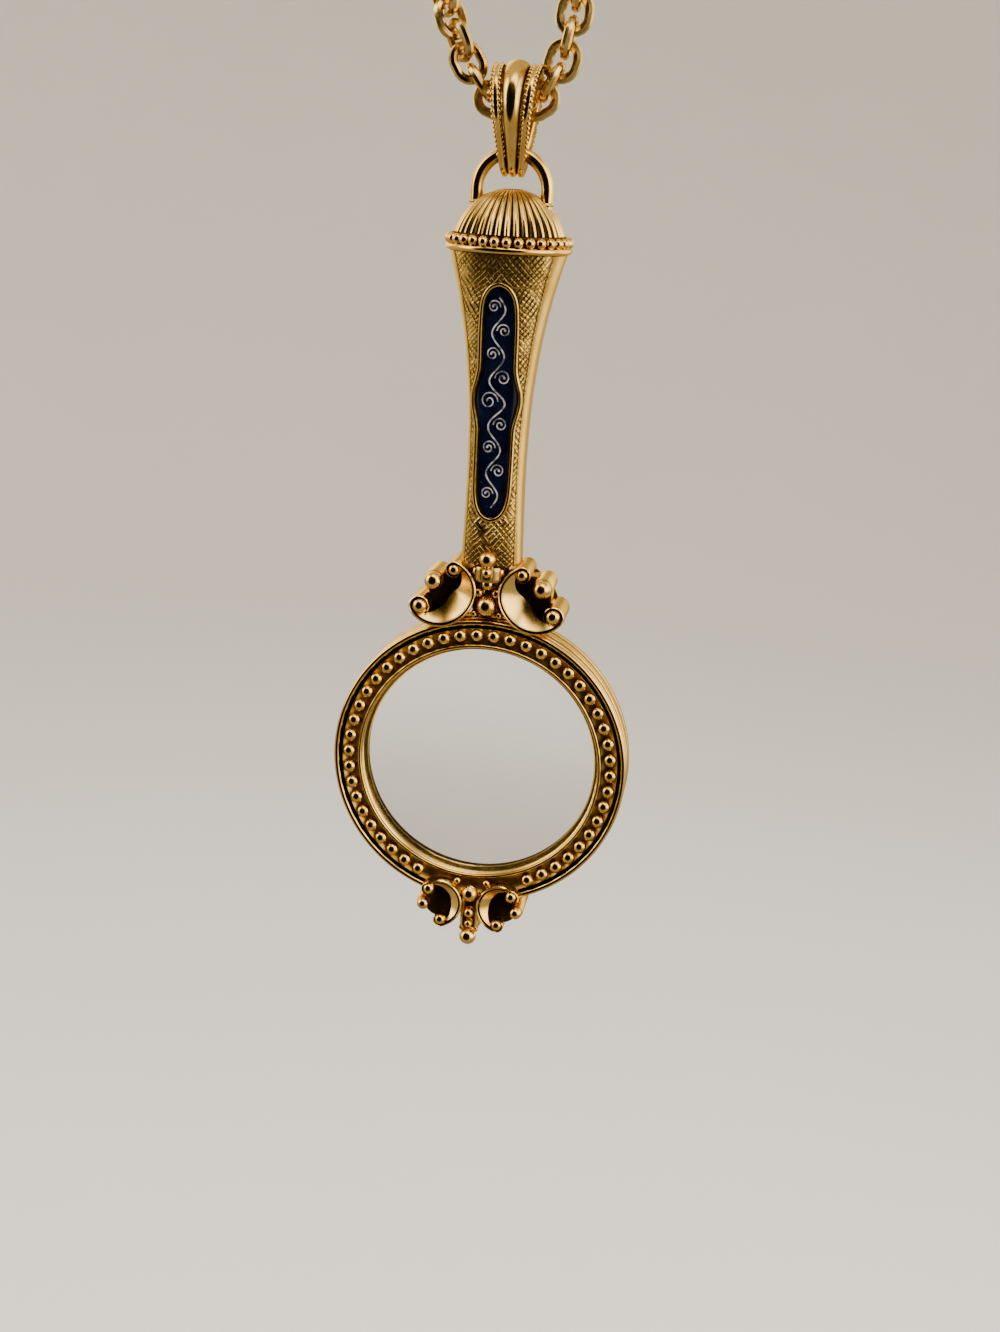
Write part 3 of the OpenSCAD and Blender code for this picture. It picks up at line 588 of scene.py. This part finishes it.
def cap():
    """Dome of convex ribs that meet in narrow valleys, shallower to the top, and the loop's arch."""
    shape = Shape()
    outline = [[0, 1], [0.11, 0.97], [0.35, 0.88], [0.6, 0.73], [0.8, 0.58], [0.92, 0.43], [1, 0.25]]
    h = np.linspace(0, 1, 22)
    base = DOME_R * curve_through(outline, h)
    turn = turns(FLUTES * 8)
    rib = np.abs(np.sin(turn * FLUTES / 2)) ** 0.75
    depth = 0.5 * (1 - 0.55 * h)
    r = base[:, None] - depth[:, None] * (1 - rib[None])
    P = np.stack([r * np.cos(turn), r * np.sin(turn), (DOME_Z + DOME_H * h)[:, None] + 0 * r], -1)
    # painted shade and patina in the valleys between the ribs
    shape.grid(P, wrap_v=True, ends=True, age=(1 - rib) ** 0.9 * 1.15)
    # painted shade darkens the top disc towards its rim and underside
    lathe(shape, [[0, 0.12], [0.9, 0.1], [1.3, -0.05], [1.35, -0.3], [0, -0.3]], [0.5, 0.5, 0.7, 0.9, 0.9],
          32, centre=(0, 0, DOME_Z + DOME_H))
    leg, sides = 2.2, 16
    arch = arc(0, LOOP_Z, LOOP_R, 180, 0, 41)
    legs = np.linspace(LOOP_Z - leg, LOOP_Z, 9)[:-1]
    flat = np.concatenate([np.stack([-LOOP_R + 0 * legs, legs], -1), arch,
                           np.stack([LOOP_R + 0 * legs, legs[::-1]], -1)])
    path = np.stack([flat[:, 0], 0 * flat[:, 0], flat[:, 1]], -1)
    # painted shade on the inside of the loop's arch, where the bail hangs
    sweep(shape, path, LOOP_WIRE / 2, LOOP_WIRE / 2, (0, 1, 0), sides,
          age=0.45 * (np.cos(turns(sides)) > 0.5))
    # painted shade on the flat faces of the small rings on the loop's legs
    for side in (-1, 1):
        lathe(shape, [[0.3, 0], [0.66, 0], [0.71, 0.12], [0.66, 0.24], [0.6, 0.3], [0.3, 0.32]],
              [0.9, 0.9, 0.3, 0.2, 0.8, 0.8], 20, centre=(side * LOOP_R, 0, LOOP_Z - 1.36))
    make("cap_dome_and_loop", shape, POLISHED, "pendant", ["cap"])


def collar():
    """Turned disc with a rounded lip, and a ring of beads standing on it."""
    shape = Shape()
    lip_r, z0, z1 = COLLAR_R - 0.15, COLLAR_Z, COLLAR_Z + LIP_H
    edge = arc(lip_r - LIP_H / 2, z0 + LIP_H / 2, LIP_H / 2, -90, 90, 9)
    inner = COLLAR_R - COLLAR_BEAD / 2 - 0.25
    profile = np.concatenate([[[0, z0], [4.6, z0]], edge,
                              [[inner, z1 - 0.02], [inner, COLLAR_TOP], [0, COLLAR_TOP]]])
    # painted shade and patina underneath, on the lip's underside, inside the ring of beads and under the
    # dome
    age = np.concatenate([[0.9, 0.9], np.linspace(0.45, 0, 3), np.zeros(4), [0.1, 0.9], [1, 1, 1]])
    lathe(shape, profile, age, 128)
    turn = (np.arange(COLLAR_BEADS) + 0.5) * TAU / COLLAR_BEADS
    r = COLLAR_R - COLLAR_BEAD / 2 - 0.01
    centres = np.stack([r * np.cos(turn), r * np.sin(turn), 0 * turn + z1 + COLLAR_BEAD / 2 - 0.1], -1)
    out = np.stack([np.cos(turn), np.sin(turn), 0 * turn], -1)
    balls(shape, centres, COLLAR_BEAD / 2, -0.7 * out - [0, 0, 0.7], ball(16, 10), dark=0.95)
    make("collar_beaded", shape, POLISHED, "pendant", ["collar"])


cap()
collar()


# ---- handle and its enamel

# Rows up the plate: share of its length, of its plain half width and of the bulge added in the middle
PLATE_OUTLINE = np.array([[0, 0.04, 0], [0.008, 0.35, 0], [0.03, 0.66, 0], [0.07, 0.88, 0], [0.12, 0.97, 0],
                          [0.2, 1, 0], [0.38, 1, 0.05], [0.42, 1, 0.25], [0.47, 1, 0.75], [0.51, 1, 1],
                          [0.545, 1, 0.95], [0.58, 1, 0.6], [0.62, 1, 0.2], [0.66, 0.99, 0], [0.8, 1, 0],
                          [0.9, 0.95, 0], [0.94, 0.86, 0], [0.975, 0.62, 0], [0.992, 0.34, 0],
                          [1, 0.04, 0]])
OUTLINE_KNOTS = np.stack([PLATE_OUTLINE[:, 0], PLATE_W / 2 * PLATE_OUTLINE[:, 1]
                          + (BULGE_W - PLATE_W) / 2 * PLATE_OUTLINE[:, 2]], -1)
WAIST = 0.28


def handle_section(t):
    """Half width, half depth and squareness of the handle at a share of its length."""
    flare = np.where(t < WAIST, 0, np.clip((t - WAIST) / (1 - WAIST), 0, 1) ** 2.4)
    toe = np.where(t < WAIST, np.clip(1 - t / WAIST, 0, 1) ** 1.5, 0)
    return 2.75 + 2.8 * flare + 0.2 * toe, 3.15 + 2.05 * flare - 0.45 * toe, 3.2 - 1.1 * flare


def front_y(x, z):
    """Depth of the handle's front surface at a place seen from the front."""
    w, d, m = handle_section((z - HANDLE_Z) / HANDLE_L)
    return -d * np.clip(1 - np.abs(x / w) ** m, 0, 1) ** (1 / m)


def front_normal(x, z):
    """Outward direction of the front surface, from its slopes across and along."""
    e = 0.02
    dx = (front_y(x + e, z) - front_y(x - e, z)) / (2 * e)
    dz = (front_y(x, z + e) - front_y(x, z - e)) / (2 * e)
    return unit_length(np.stack([dx, -np.ones_like(dx), dz], -1))


def plate_half(z):
    """Half width of the plate at a height."""
    return curve_through(OUTLINE_KNOTS, (z - PLATE_Z) / PLATE_L)


def outline_path(grow):
    """Closed path of (x, z) points round the plate, at a set distance outside it."""
    z = PLATE_Z + PLATE_L * (1 - np.cos(np.linspace(0, math.pi, 130))) / 2
    side = np.stack([plate_half(z), z], -1)
    loop = np.concatenate([side, (side * [-1, 1])[::-1]])
    ahead = np.roll(loop, -1, 0) - np.roll(loop, 1, 0)
    for _ in range(3):
        ahead = (np.roll(ahead, 1, 0) + ahead + np.roll(ahead, -1, 0)) / 3
    ahead = unit_length(ahead)
    return loop + grow * np.stack([ahead[:, 1], -ahead[:, 0]], -1)


def handle():
    """Superellipse rings that follow the handle's flare, denser at the front, sunk under the enamel, and
    the raised frame swept round the plate's outline."""
    rows, sides, straight_ahead = 230, 200, 1.5 * math.pi
    fine = np.linspace(0, TAU, 4001)
    dense = 1 + 2.2 * np.exp(-((fine - straight_ahead) / 0.55) ** 2)
    run = np.concatenate([[0], np.cumsum((dense[1:] + dense[:-1]) / 2)])
    turn = np.interp(np.arange(sides) / sides * run[-1], run, fine)[None]
    t = np.linspace(0, 1, rows)[:, None]
    w, d, m = handle_section(t)
    c, s = np.cos(turn), np.sin(turn)
    x = w * np.sign(c) * np.abs(c) ** (2 / m)
    y = d * np.sign(s) * np.abs(s) ** (2 / m)
    z = HANDLE_Z + HANDLE_L * t + 0 * x
    inside = np.where((z > PLATE_Z) & (z < PLATE_Z + PLATE_L) & (y < 0), plate_half(z) - np.abs(x), -1)
    sunk = smooth((inside + 0.12) / 0.16)
    y = y + sunk * (PLATE_SINK + 0.3)
    stride = np.hypot(np.diff(x, axis=1), np.diff(y * (1 - sunk), axis=1))
    edge = np.concatenate([np.zeros((rows, 1)), np.cumsum(stride, 1)], 1)
    front = np.argmin(np.abs(turn[0] - straight_ahead))
    around = edge - edge[:, front:front + 1]
    side = np.abs(x) / w
    facing = y < 0
    # the hatching stops short of the side edges, and under the enamel
    hatch = 1 - np.where(facing, smooth((side - 0.8) / 0.07), smooth((side - 0.86) / 0.06))
    hatch = hatch * (1 - sunk)
    # black lies at the top and the toe, in a groove down each side of the front and close round the frame:
    # a painted dark reflection over the top of the front, and painted shade at the toe, in the grooves and
    # beside the raised frame
    dark_top = smooth((t - 0.8) / 0.16) * (1 - smooth((side - 0.42) / 0.36))
    dark_toe = smooth((0.16 - t) / 0.14) * (1 - smooth((side - 0.5) / 0.35))
    groove = np.exp(-((side - 0.83) / 0.02) ** 2) * facing
    close = np.where(facing, np.exp(-np.clip(-inside - FRAME_W, 0, 9) / 0.12), 0) * (inside > -1)
    age = 0.2 * hatch + 0.5 * dark_top + 0.42 * dark_toe + 0.75 * groove + 0.7 * close + 0.8 * sunk
    shape = Shape().grid(np.stack([x, y, z], -1), wrap_v=True, ends=True, age=np.clip(age, 0, 1.1),
                         around=around, hatch=hatch)
    x, z = outline_path(FRAME_W / 2 + 0.03).T
    path, sides = np.stack([x, front_y(x, z), z], -1), 12
    # painted shade on the sides of the frame's wire
    sweep(shape, path, FRAME_W / 2, FRAME_H + 0.03, front_normal(x, z), sides, closed=True, power=2.6,
          age=0.75 * (np.abs(np.cos(turns(sides))) > 0.8))
    make("handle_hatched", shape, HATCHED, "pendant", ["handle"], sharp=50)


def plate():
    """Slab of enamel under the outline, its face a set depth below the handle's front."""
    z = PLATE_Z + PLATE_L * (1 - np.cos(np.linspace(0.02, math.pi - 0.02, 150))) / 2
    across = np.sin(np.linspace(-math.pi / 2, math.pi / 2, 17))
    x = plate_half(z)[:, None] * across[None]
    zz = np.broadcast_to(z[:, None], x.shape)
    soft = 0.05 * np.abs(across[None]) ** 8
    face = front_y(x, zz) + PLATE_SINK + soft
    back = front_y(x, zz) + PLATE_SINK + PLATE_T
    P = np.concatenate([np.stack([x, face, zz], -1), np.stack([x, back, zz], -1)[:, ::-1]], 1)
    make("cartouche_enamel", Shape().grid(P, wrap_v=True, ends=True), ENAMEL, "pendant", ["plate"])


def vine():
    """Thin raised lines on the enamel: one waving stem, a spiral tendril in each of its bends and a bead
    at each tendril's end, the same ornament repeated up the plate."""
    shape = Shape()

    def on_plate(x, z):
        return np.stack([x, front_y(x, z) + PLATE_SINK - 0.015, z], -1)

    low, high, waves = PLATE_Z + 1.0, PLATE_Z + PLATE_L - 1.0, 4.5
    z = np.linspace(low, high, 300)
    share = (z - low) / (high - low)
    swing = 0.42 * plate_half(z)
    stem = on_plate(swing * np.sin(TAU * waves * share), z)
    sweep(shape, stem, 0.075, 0.07, front_normal(stem[:, 0], stem[:, 2]), 6)
    pitch = (high - low) / waves
    for k in range(int(2 * waves)):
        side = -1 if k % 2 == 0 else 1
        zc = low + pitch * (0.25 + 0.5 * k)
        wide = float(plate_half(np.array([zc]))[0])
        turn = np.linspace(0, 1.45 * TAU, 44)
        r = 0.46 * wide * (1 - 0.8 * turn / turn[-1])
        x = side * (0.34 * wide - r * np.cos(turn) * 0.95)
        zt = zc + 0.25 + r * np.sin(turn)
        line = on_plate(x, zt)
        sweep(shape, line, 0.065, 0.06, front_normal(x, zt), 6)
        balls(shape, line[-1:], 0.12, unit=TINY_BALL)
    make("cartouche_vine", shape, SILVER, "pendant")


handle()
plate()
vine()


# ---- crest and foot

def scroll(shape, r, curls, bead, thick, dish, pocket, eye, place):
    """One open scroll in its own frame, its mouth along x. The outer edge runs out of one curl, round the
    back at a radius that follows the curls' reach, and into the other curl. Across it lie a raised edge
    wire, a dark line of painted shade in the step behind the wire, and a polished dish that slopes down
    to a pocket and is widest at the back. Curls are rows of place and radius in shares of r, as is the
    bead in the mouth; thick, dish and pocket are millimetres, eye the share of a curl that its bead
    fills, and place puts the points into the part."""
    (ax, ay, ar), (bx, by, br) = np.array(curls) * r
    start, stop = math.atan2(ay, ax), math.atan2(by, bx) + TAU
    reach_a, reach_b = math.hypot(ax, ay) + ar, math.hypot(bx, by) + br
    steps = 46
    u = np.linspace(0, 1, steps)[:, None]
    wind = math.radians(250)

    def circle(turn):
        return np.concatenate([np.cos(turn), np.sin(turn)], 1)

    turn = start + (stop - start) * u
    back_r = reach_a + (r - reach_a) * smooth(u * 2.6) + (reach_b - r) * smooth((u - 0.45) / 0.55)
    outer = np.concatenate([[[ax, ay]] + ar * (0.8 + 0.2 * u) * circle(start - wind * (1 - u)),
                            (back_r * circle(turn))[1:-1],
                            [[bx, by]] + br * (1 - 0.2 * u) * circle(stop + wind * u)])
    thin_a, thin_b, along = 0.3 * ar, 0.3 * br, u[1:-1, 0]
    width = np.concatenate([thin_a * (0.6 + 0.4 * u[:, 0]), thin_a + (thin_b - thin_a) * along
                            + (dish - (thin_a + thin_b) / 2) * np.sin(math.pi * along) ** 1.1,
                            thin_b * (1 - 0.4 * u[:, 0])])
    for _ in range(6):
        outer[1:-1] = (outer[:-2] + outer[1:-1] * 2 + outer[2:]) / 4
        width[1:-1] = (width[:-2] + width[1:-1] * 2 + width[2:]) / 4
    ahead = unit_length(np.gradient(outer, axis=0))
    inward = np.stack([-ahead[:, 1], ahead[:, 0]], -1)
    wire = np.minimum(0.21, 0.62 * width)
    rest = np.maximum(width - 1.75 * wire, 0.02)
    # rows inwards over the wire and into the dark line: offset in wire widths, height, and patina with
    # painted shade
    rows = [(0.0, -thick, 0.45), (0.0, -0.22, 0.3), (0.12, -0.06, 0.0), (0.5, 0.0, 0.0), (0.88, -0.05, 0.1),
            (1.0, -0.32, 1.1), (1.7, -0.32, 1.1)]
    rows = [(offset * wire, height + 0 * wire, age) for offset, height, age in rows]
    for step in np.linspace(0, 1, 9):
        run = rest * step
        rows.append((1.75 * wire + run, -0.16 - 0.85 * run + 0.1 * run ** 2,
                     0.6 if step == 0 else 0.12 * smooth((step - 0.7) / 0.3)))
    rows += [(width + 0.04, rows[-1][1] - 0.12, 0.6), (width + 0.04, -thick + 0 * wire, 0.5)]
    offsets, heights, ages = zip(*rows)
    P = np.stack([np.concatenate([outer + inward * o[:, None], h[:, None]], 1)
                  for o, h in zip(offsets, heights)], 1)
    shape.grid(place(P), wrap_v=True, ends=True, age=ages)

    def post(x, y, radius, top, dark):
        """Round post from the back plane, with a softened top edge."""
        sides, crown = 28, 0.3
        ring = turns(sides)
        rows = [(0.0, -thick), (radius * 0.9, -thick), (radius, -thick + 0.12), (radius, top - crown),
                (radius - crown * 0.3, top - crown * 0.3), (radius - crown, top), (0.0, top)]
        Q = np.stack([np.stack([x + q * np.cos(ring), y + q * np.sin(ring), np.full(sides, h)], -1)
                      for q, h in rows], 1)
        shape.grid(place(Q), wrap_u=True, age=[0.2, 0.2, 0.15, 0.25, dark, dark, dark])

    def bead_at(x, y, height, radius):
        balls(shape, place(np.array([x, y, height])), radius, unit=FINE_BALL, dark=0.8)

    # the plain plate that closes the back: the outer edge's stretch between the curls, and across the mouth
    edge = (outer + inward * 0.12)[steps:2 * steps - 2]
    t = np.linspace(0, 1, 14)[1:-1, None]
    mouth = edge[-1] + (edge[0] - edge[-1]) * t + np.array([0.3 * r, 0]) * np.sin(math.pi * t)
    edge = np.concatenate([edge, mouth])
    middle = np.array([-0.2 * r, 0])
    rows = [(0.0, 0.04), (0.9, 0.04), (0.97, 0.03), (1.0, -0.05), (1.0, -0.3), (0.97, -0.35), (0.0, -0.35)]
    heights = np.zeros((len(edge), 1)) - thick
    plate_back = np.stack([np.concatenate([middle + (edge - middle) * q, heights - h], 1)
                           for q, h in rows], 1)
    # darker at its rim and on its back face: painted shade
    shape.grid(place(plate_back), wrap_u=True, age=[0.1, 0.2, 0.3, 0.5, 1.1, 1.1, 1.1])
    # painted shade blackens the pocket and the curls' eyes
    post(-0.12 * r, -0.05 * r, 0.62 * r, -pocket, 1.1)
    for x, y, radius in ((ax, ay, ar), (bx, by, br)):
        post(x, y, radius * 0.9, -min(0.7, 0.6 * pocket), 1.1)
        bead_at(x, y, -0.4, eye * radius)
    x, y, radius = np.array(bead) * r
    post(x, y, radius + 0.08, -0.5, 0.6)
    bead_at(x, y, -0.35, radius)


def scroll_pair(shape, x, z, turn, r, curls, bead, front, dish, pocket, eye):
    """A scroll, turned by an angle in degrees, and its mirror image. Where they lie over the ring they stop
    in front of it."""
    c, s = math.cos(math.radians(turn)), math.sin(math.radians(turn))
    for side in (-1, 1):
        def place(Q, side=side):
            P = np.stack([side * (x + c * Q[..., 0] - s * Q[..., 1]), -(front + Q[..., 2]),
                          z + s * Q[..., 0] + c * Q[..., 1]], -1)
            over_ring = np.hypot(P[..., 0], P[..., 2] - LENS_Z) < RING_R + 0.03
            P[..., 1] = np.where(over_ring, np.minimum(P[..., 1], -RING_T / 2 - 0.03), P[..., 1])
            return P
        scroll(shape, r, curls, bead, front + SCROLL_BACK, dish, pocket, eye, place)


def bar(shape, half_w, front, back, low, high, age):
    """An upright bar between two heights, its section an oval from side to side and front to back."""
    z = np.concatenate([[low, low + 0.05], np.linspace(low + 0.2, high - 0.2, 6), [high - 0.05, high]])
    taper = np.concatenate([[0.8, 0.93], np.ones(6), [0.93, 0.8]])
    path = np.stack([0 * z, (front + back) / 2 + 0 * z, z], -1)
    sweep(shape, path, half_w * taper, (back - front) / 2 * taper, (0, -1, 0), 28, age=age)


def crest():
    """Two scrolls with a column of beads between them, on the ring's top."""
    shape = Shape()
    front, top = RING_T / 2 + CREST_PROUD, LENS_Z + RING_R
    scroll_pair(shape, 1.31 * CREST_R, top + 0.86 * CREST_R, turn=41, r=CREST_R,
                curls=[[0.19, 0.66, 0.28], [0.16, -0.87, 0.36]], bead=[0.4, -0.02, 0.28],
                front=front, dish=2.4, pocket=2.1, eye=0.68)
    # a stout bar carries the handle, a thin one backs the two top beads, and one behind it fills the space
    # between the scrolls; each by half width, front, back, low end, high end, and patina with painted shade
    bar(shape, 1.75, -front + 0.75, SCROLL_BACK, top + 0.07, SHELF_Z, 0.42)
    bar(shape, 0.6, -3.2, -2.7, SHELF_Z - 1.4, SHELF_Z + 0.7, 0.45)
    bar(shape, 1.4, -3.15, -1.0, SHELF_Z - 1.6, SHELF_Z - 0.05, 0.42)
    # the column's beads: height over the ring, radius and reach to the front
    for z, r, y in ((6.35, 0.85, 3.1), (5.05, 0.5, 3.2), (3.75, 0.62, front - 0.35),
                    (1.5, 1.02, front - 0.45)):
        balls(shape, [[0, -y, top + z]], r, unit=FINE_BALL, dark=0.9)
    for side in (-1, 1):
        for z, r, x in ((4.95, 0.62, 1.05), (2.8, 0.5, 0.9), (0.6, 0.36, 1.25)):
            balls(shape, [[side * x, -(front - 0.6), top + z]], r, dark=0.8)
    make("crest_scrolls", shape, POLISHED, "pendant", ["crest"])


def foot():
    """Two smaller scrolls with a column of beads between them, lapping over the ring's lower front."""
    shape = Shape()
    front, bottom = RING_T / 2 + FOOT_PROUD, LENS_Z - RING_R
    scroll_pair(shape, 1.22 * FOOT_R, bottom - 0.1 * FOOT_R, turn=-20, r=FOOT_R,
                curls=[[0.05, 0.6, 0.27], [0, -0.61, 0.27]], bead=[0.42, 0.11, 0.22],
                front=front, dish=1.3, pocket=1.15, eye=0.8)
    # the bars are darkened a little by painted shade behind the beads
    bar(shape, 0.95, -front + 0.6, -RING_T / 2 - 0.05, bottom - 3.2, bottom + 1.1, 0.15)
    bar(shape, 1.0, -front + 1.2, SCROLL_BACK, bottom - 3.3, bottom - 0.1, 0.25)
    for z, r in ((1.2, 0.85), (-0.9, 0.52), (-2.1, 0.42), (-3.5, 0.86)):
        balls(shape, [[0, -(front - 0.35), bottom + z]], r, unit=FINE_BALL, dark=0.9)
    for side in (-1, 1):
        for x, z, r, inset in ((0.95, 0.1, 0.26, 0.5), (1.5, 2.0, 0.4, 1.4), (0.75, -2.8, 0.28, 0.8)):
            balls(shape, [[side * x, -(front - inset), bottom + z]], r, dark=0.8)
    make("foot_scrolls", shape, POLISHED, "pendant", ["foot"])


crest()
foot()


# ---- lens ring

def bezel():
    """Turned ring with an edge wire, a dark groove of painted shade, a matt cove and an inner rim, and a
    bead in every place but those under the foot."""
    shape = Shape()
    y0, soft = -RING_T / 2, 0.275
    # radius and depth from the ring's front face, and the patina and painted shade of each point, blackest
    # in the groove and the creases of the side wall
    parts = [
        (arc(RING_R - soft, soft, soft, 0, -180, 11), [0.1] * 9 + [0.5, 1]),
        (np.array([[14.29, 0.95], [14.02, 0.98]]), [1.1, 1.1]),
        (np.array([[14.0, 0.24], [13.95, 0.2], [13.84, 0.31], [13.7, 0.43], [13.5, 0.53], [13.2, 0.58],
                   [12.85, 0.58], [12.6, 0.54], [12.42, 0.46]]),
         [0.9, 0.55, 0.4, 0.45, 0.52, 0.55, 0.52, 0.45, 0.65]),
        (arc(12.19, 0.24, 0.19, 0, -180, 9), [0.9, 0.3] + [0] * 7),
        (np.array([[11.98, 0.34], [11.82, 0.5], [11.62, 1.2], [VIEW_R, 1.42], [VIEW_R, 1.54]]),
         [0.3, 0.1, 0.15, 0.3, 0.9]),
        (np.array([[11.9, 1.56], [11.9, 2.94], [VIEW_R, 2.96], [VIEW_R, 3.1], [11.62, 3.3], [11.95, 4.2]]),
         [1, 1, 0.9, 0.3, 0.2, 0.1]),
        (np.array([[12.1, 4.42], [12.35, 4.5], [12.55, 4.42], [12.65, 4.3], [12.8, 4.42], [14.0, 4.46],
                   [14.15, 4.3], [14.3, 4.44], [14.62, 4.5]]), [0, 0, 0.5, 1, 0.5, 0.2, 1, 0.3, 0]),
        (np.array([[14.8, 4.42], [14.85, 4.2], [14.82, 3.62], [14.72, 3.52], [14.7, 3.3], [14.78, 3.2],
                   [14.8, 2.1], [14.7, 2.0], [14.68, 1.62], [14.78, 1.5], [14.8, 1.02], [14.68, 0.92],
                   [14.66, 0.6], [14.8, 0.45]]),
         [0, 0, 0.2, 1, 0.8, 0.1, 0.1, 0.8, 0.9, 0.1, 0.1, 0.9, 0.9, 0.2]),
    ]
    profile = np.concatenate([p for p, _ in parts])
    cove = (profile[:, 0] > 12.5) & (profile[:, 0] < 14.03) & (profile[:, 1] < 0.9)
    age = np.concatenate([a for _, a in parts])
    lathe(shape, profile, age, 192, axis="y", centre=(0, y0, LENS_Z), dull=cove)
    angle = (np.arange(RING_BEADS) + 0.5) * 360 / RING_BEADS
    angle = np.radians(angle[np.abs(angle - 180) > FOOT_ARC])
    out = np.stack([np.sin(angle), 0 * angle, np.cos(angle)], -1)
    centres = out * BEAD_ROW_R + [0, y0 + BEAD_ROW_DEEP, LENS_Z]
    balls(shape, centres, RING_BEAD / 2, unit=ball(18, 11), dark=0.8)
    make("lens_ring_beaded", shape, POLISHED, "pendant", ["bezel"], sharp=32)


def lens():
    """Clear disc whose two faces are shallow spheres."""
    r = np.linspace(0, 1, 25) ** 0.8 * LENS_R
    sag = np.sqrt(LENS_CURVE ** 2 - r ** 2) - math.sqrt(LENS_CURVE ** 2 - LENS_R ** 2)
    front = np.stack([r, -(LENS_EDGE / 2 + sag)], -1)
    profile = np.concatenate([front, (front * [1, -1])[::-1]])
    disc = lathe(Shape(), profile, 0.0, 96, axis="y", centre=(0, 0, LENS_Z))
    make("lens_crown", disc, GLASS, "pendant", ["lens"])


bezel()
lens()

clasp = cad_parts["clasp"]
clasp.data.materials.clear()
clasp.data.materials.append(CHAIN_GOLD)


# ---- floor, light and camera

def floor_and_wall():
    """A round pale floor in metres that curves up into a far wall, drawn as rings of points."""
    floor_z, wall_foot, bend, reach, wall_top, sides = -0.65, 1.6, 1.4, 3.0, 5.5, 64
    rise = np.linspace(0, math.pi / 2, 12)[1:]
    r = np.concatenate([[0, 0.6, wall_foot], wall_foot + bend * np.sin(rise), [reach]])
    z = np.concatenate([[floor_z] * 3, floor_z + bend - bend * np.cos(rise), [wall_top]])
    turn = turns(sides)[:, None]
    P = np.stack([r * np.cos(turn), r * np.sin(turn), z + 0 * turn], -1)
    floor = solid("floor", Shape().grid(P / MM, wrap_u=True), floor_paper())
    floor.visible_glossy = False


def soft_tent():
    """World light: a dim sky, soft bright panels round the part and a dark opening behind the camera."""
    n = Nodes(bpy.data.worlds.new("soft_tent"), "Background", "Generated")
    bpy.context.scene.world = n.owner

    def patch(direction, inner, outer, out_inner, out_outer):
        """Brightness by the angle from a direction: one value within inner, another beyond outer."""
        dot = n.node("ShaderNodeVectorMath", operation="DOT_PRODUCT")
        n.put(dot.inputs[0], n.place)
        n.put(dot.inputs[1], tuple(unit_length(np.array(direction, float))))
        outer, inner = (math.cos(math.radians(angle)) for angle in (outer, inner))
        return n.ramp(dot.outputs["Value"], outer, inner, out_outer, out_inner, "SMOOTHSTEP")

    # panels: direction, the angles where they begin and have ended to fade, and brightness
    sky = patch((0, 0, -1), 30, 95, 0.3, 0.55)
    panels = [((1, -0.3, 0.3), 16, 38, 2.9), ((-1, -0.35, 0.45), 14, 32, 3.2),
              ((0.1, -0.55, 0.83), 12, 32, 3.0), ((0.72, 0.75, 0.2), 16, 36, 1.3),
              ((-0.6, 0.8, 0.3), 14, 32, 1.5)]
    for direction, inner, outer, value in panels:
        sky = n.maths("ADD", sky, patch(direction, inner, outer, value, 0.0))
    shade = patch((-0.2, -0.96, 0.15), 48, 56, 0.012, 1.2)
    n.set(Strength=n.maths("MULTIPLY", sky, shade), Color=(1.0, 0.9, 0.71, 1))


def lamp(name, place, size, power, colour):
    """Square soft box in metres and watts, turned towards the middle of the pendant."""
    data = bpy.data.lights.new(name, "AREA")
    data.size, data.energy, data.color = size, power, colour
    z = unit_length(np.array(place) - PENDANT_MIDDLE)
    x = unit_length(np.cross([0, 0, 1.0], z))
    put_in_scene(name, data, (x, np.cross(z, x), z), place).visible_glossy = False


def camera():
    """The photograph's view: its place and its right and up directions in the part's frame."""
    data = bpy.data.cameras.new("camera")
    data.sensor_width, data.lens = 36.0, 48.05
    data.clip_start, data.clip_end = 0.01, 20.0
    right = np.array([0.98737001, 0.14901998, 0.05379143])
    up = np.array([-0.09260952, 0.2673942, 0.95912659])
    place = np.array([24.20916952, -166.92270291 - RING_T / 2, 59.14255167 + LENS_Z]) * MM
    bpy.context.scene.camera = put_in_scene("camera", data, (right, up, np.cross(right, up)), place)


floor_and_wall()
soft_tent()
lamp("left_box", (-0.75, -0.45, 0.1), 0.45, 9.5, (1.0, 0.96, 0.9))
lamp("right_box", (0.85, -0.15, -0.05), 0.4, 9.0, (1.0, 0.93, 0.84))
lamp("top_box", (0.1, 0.25, 0.7), 0.6, 15.0, (1.0, 0.98, 0.95))
camera()
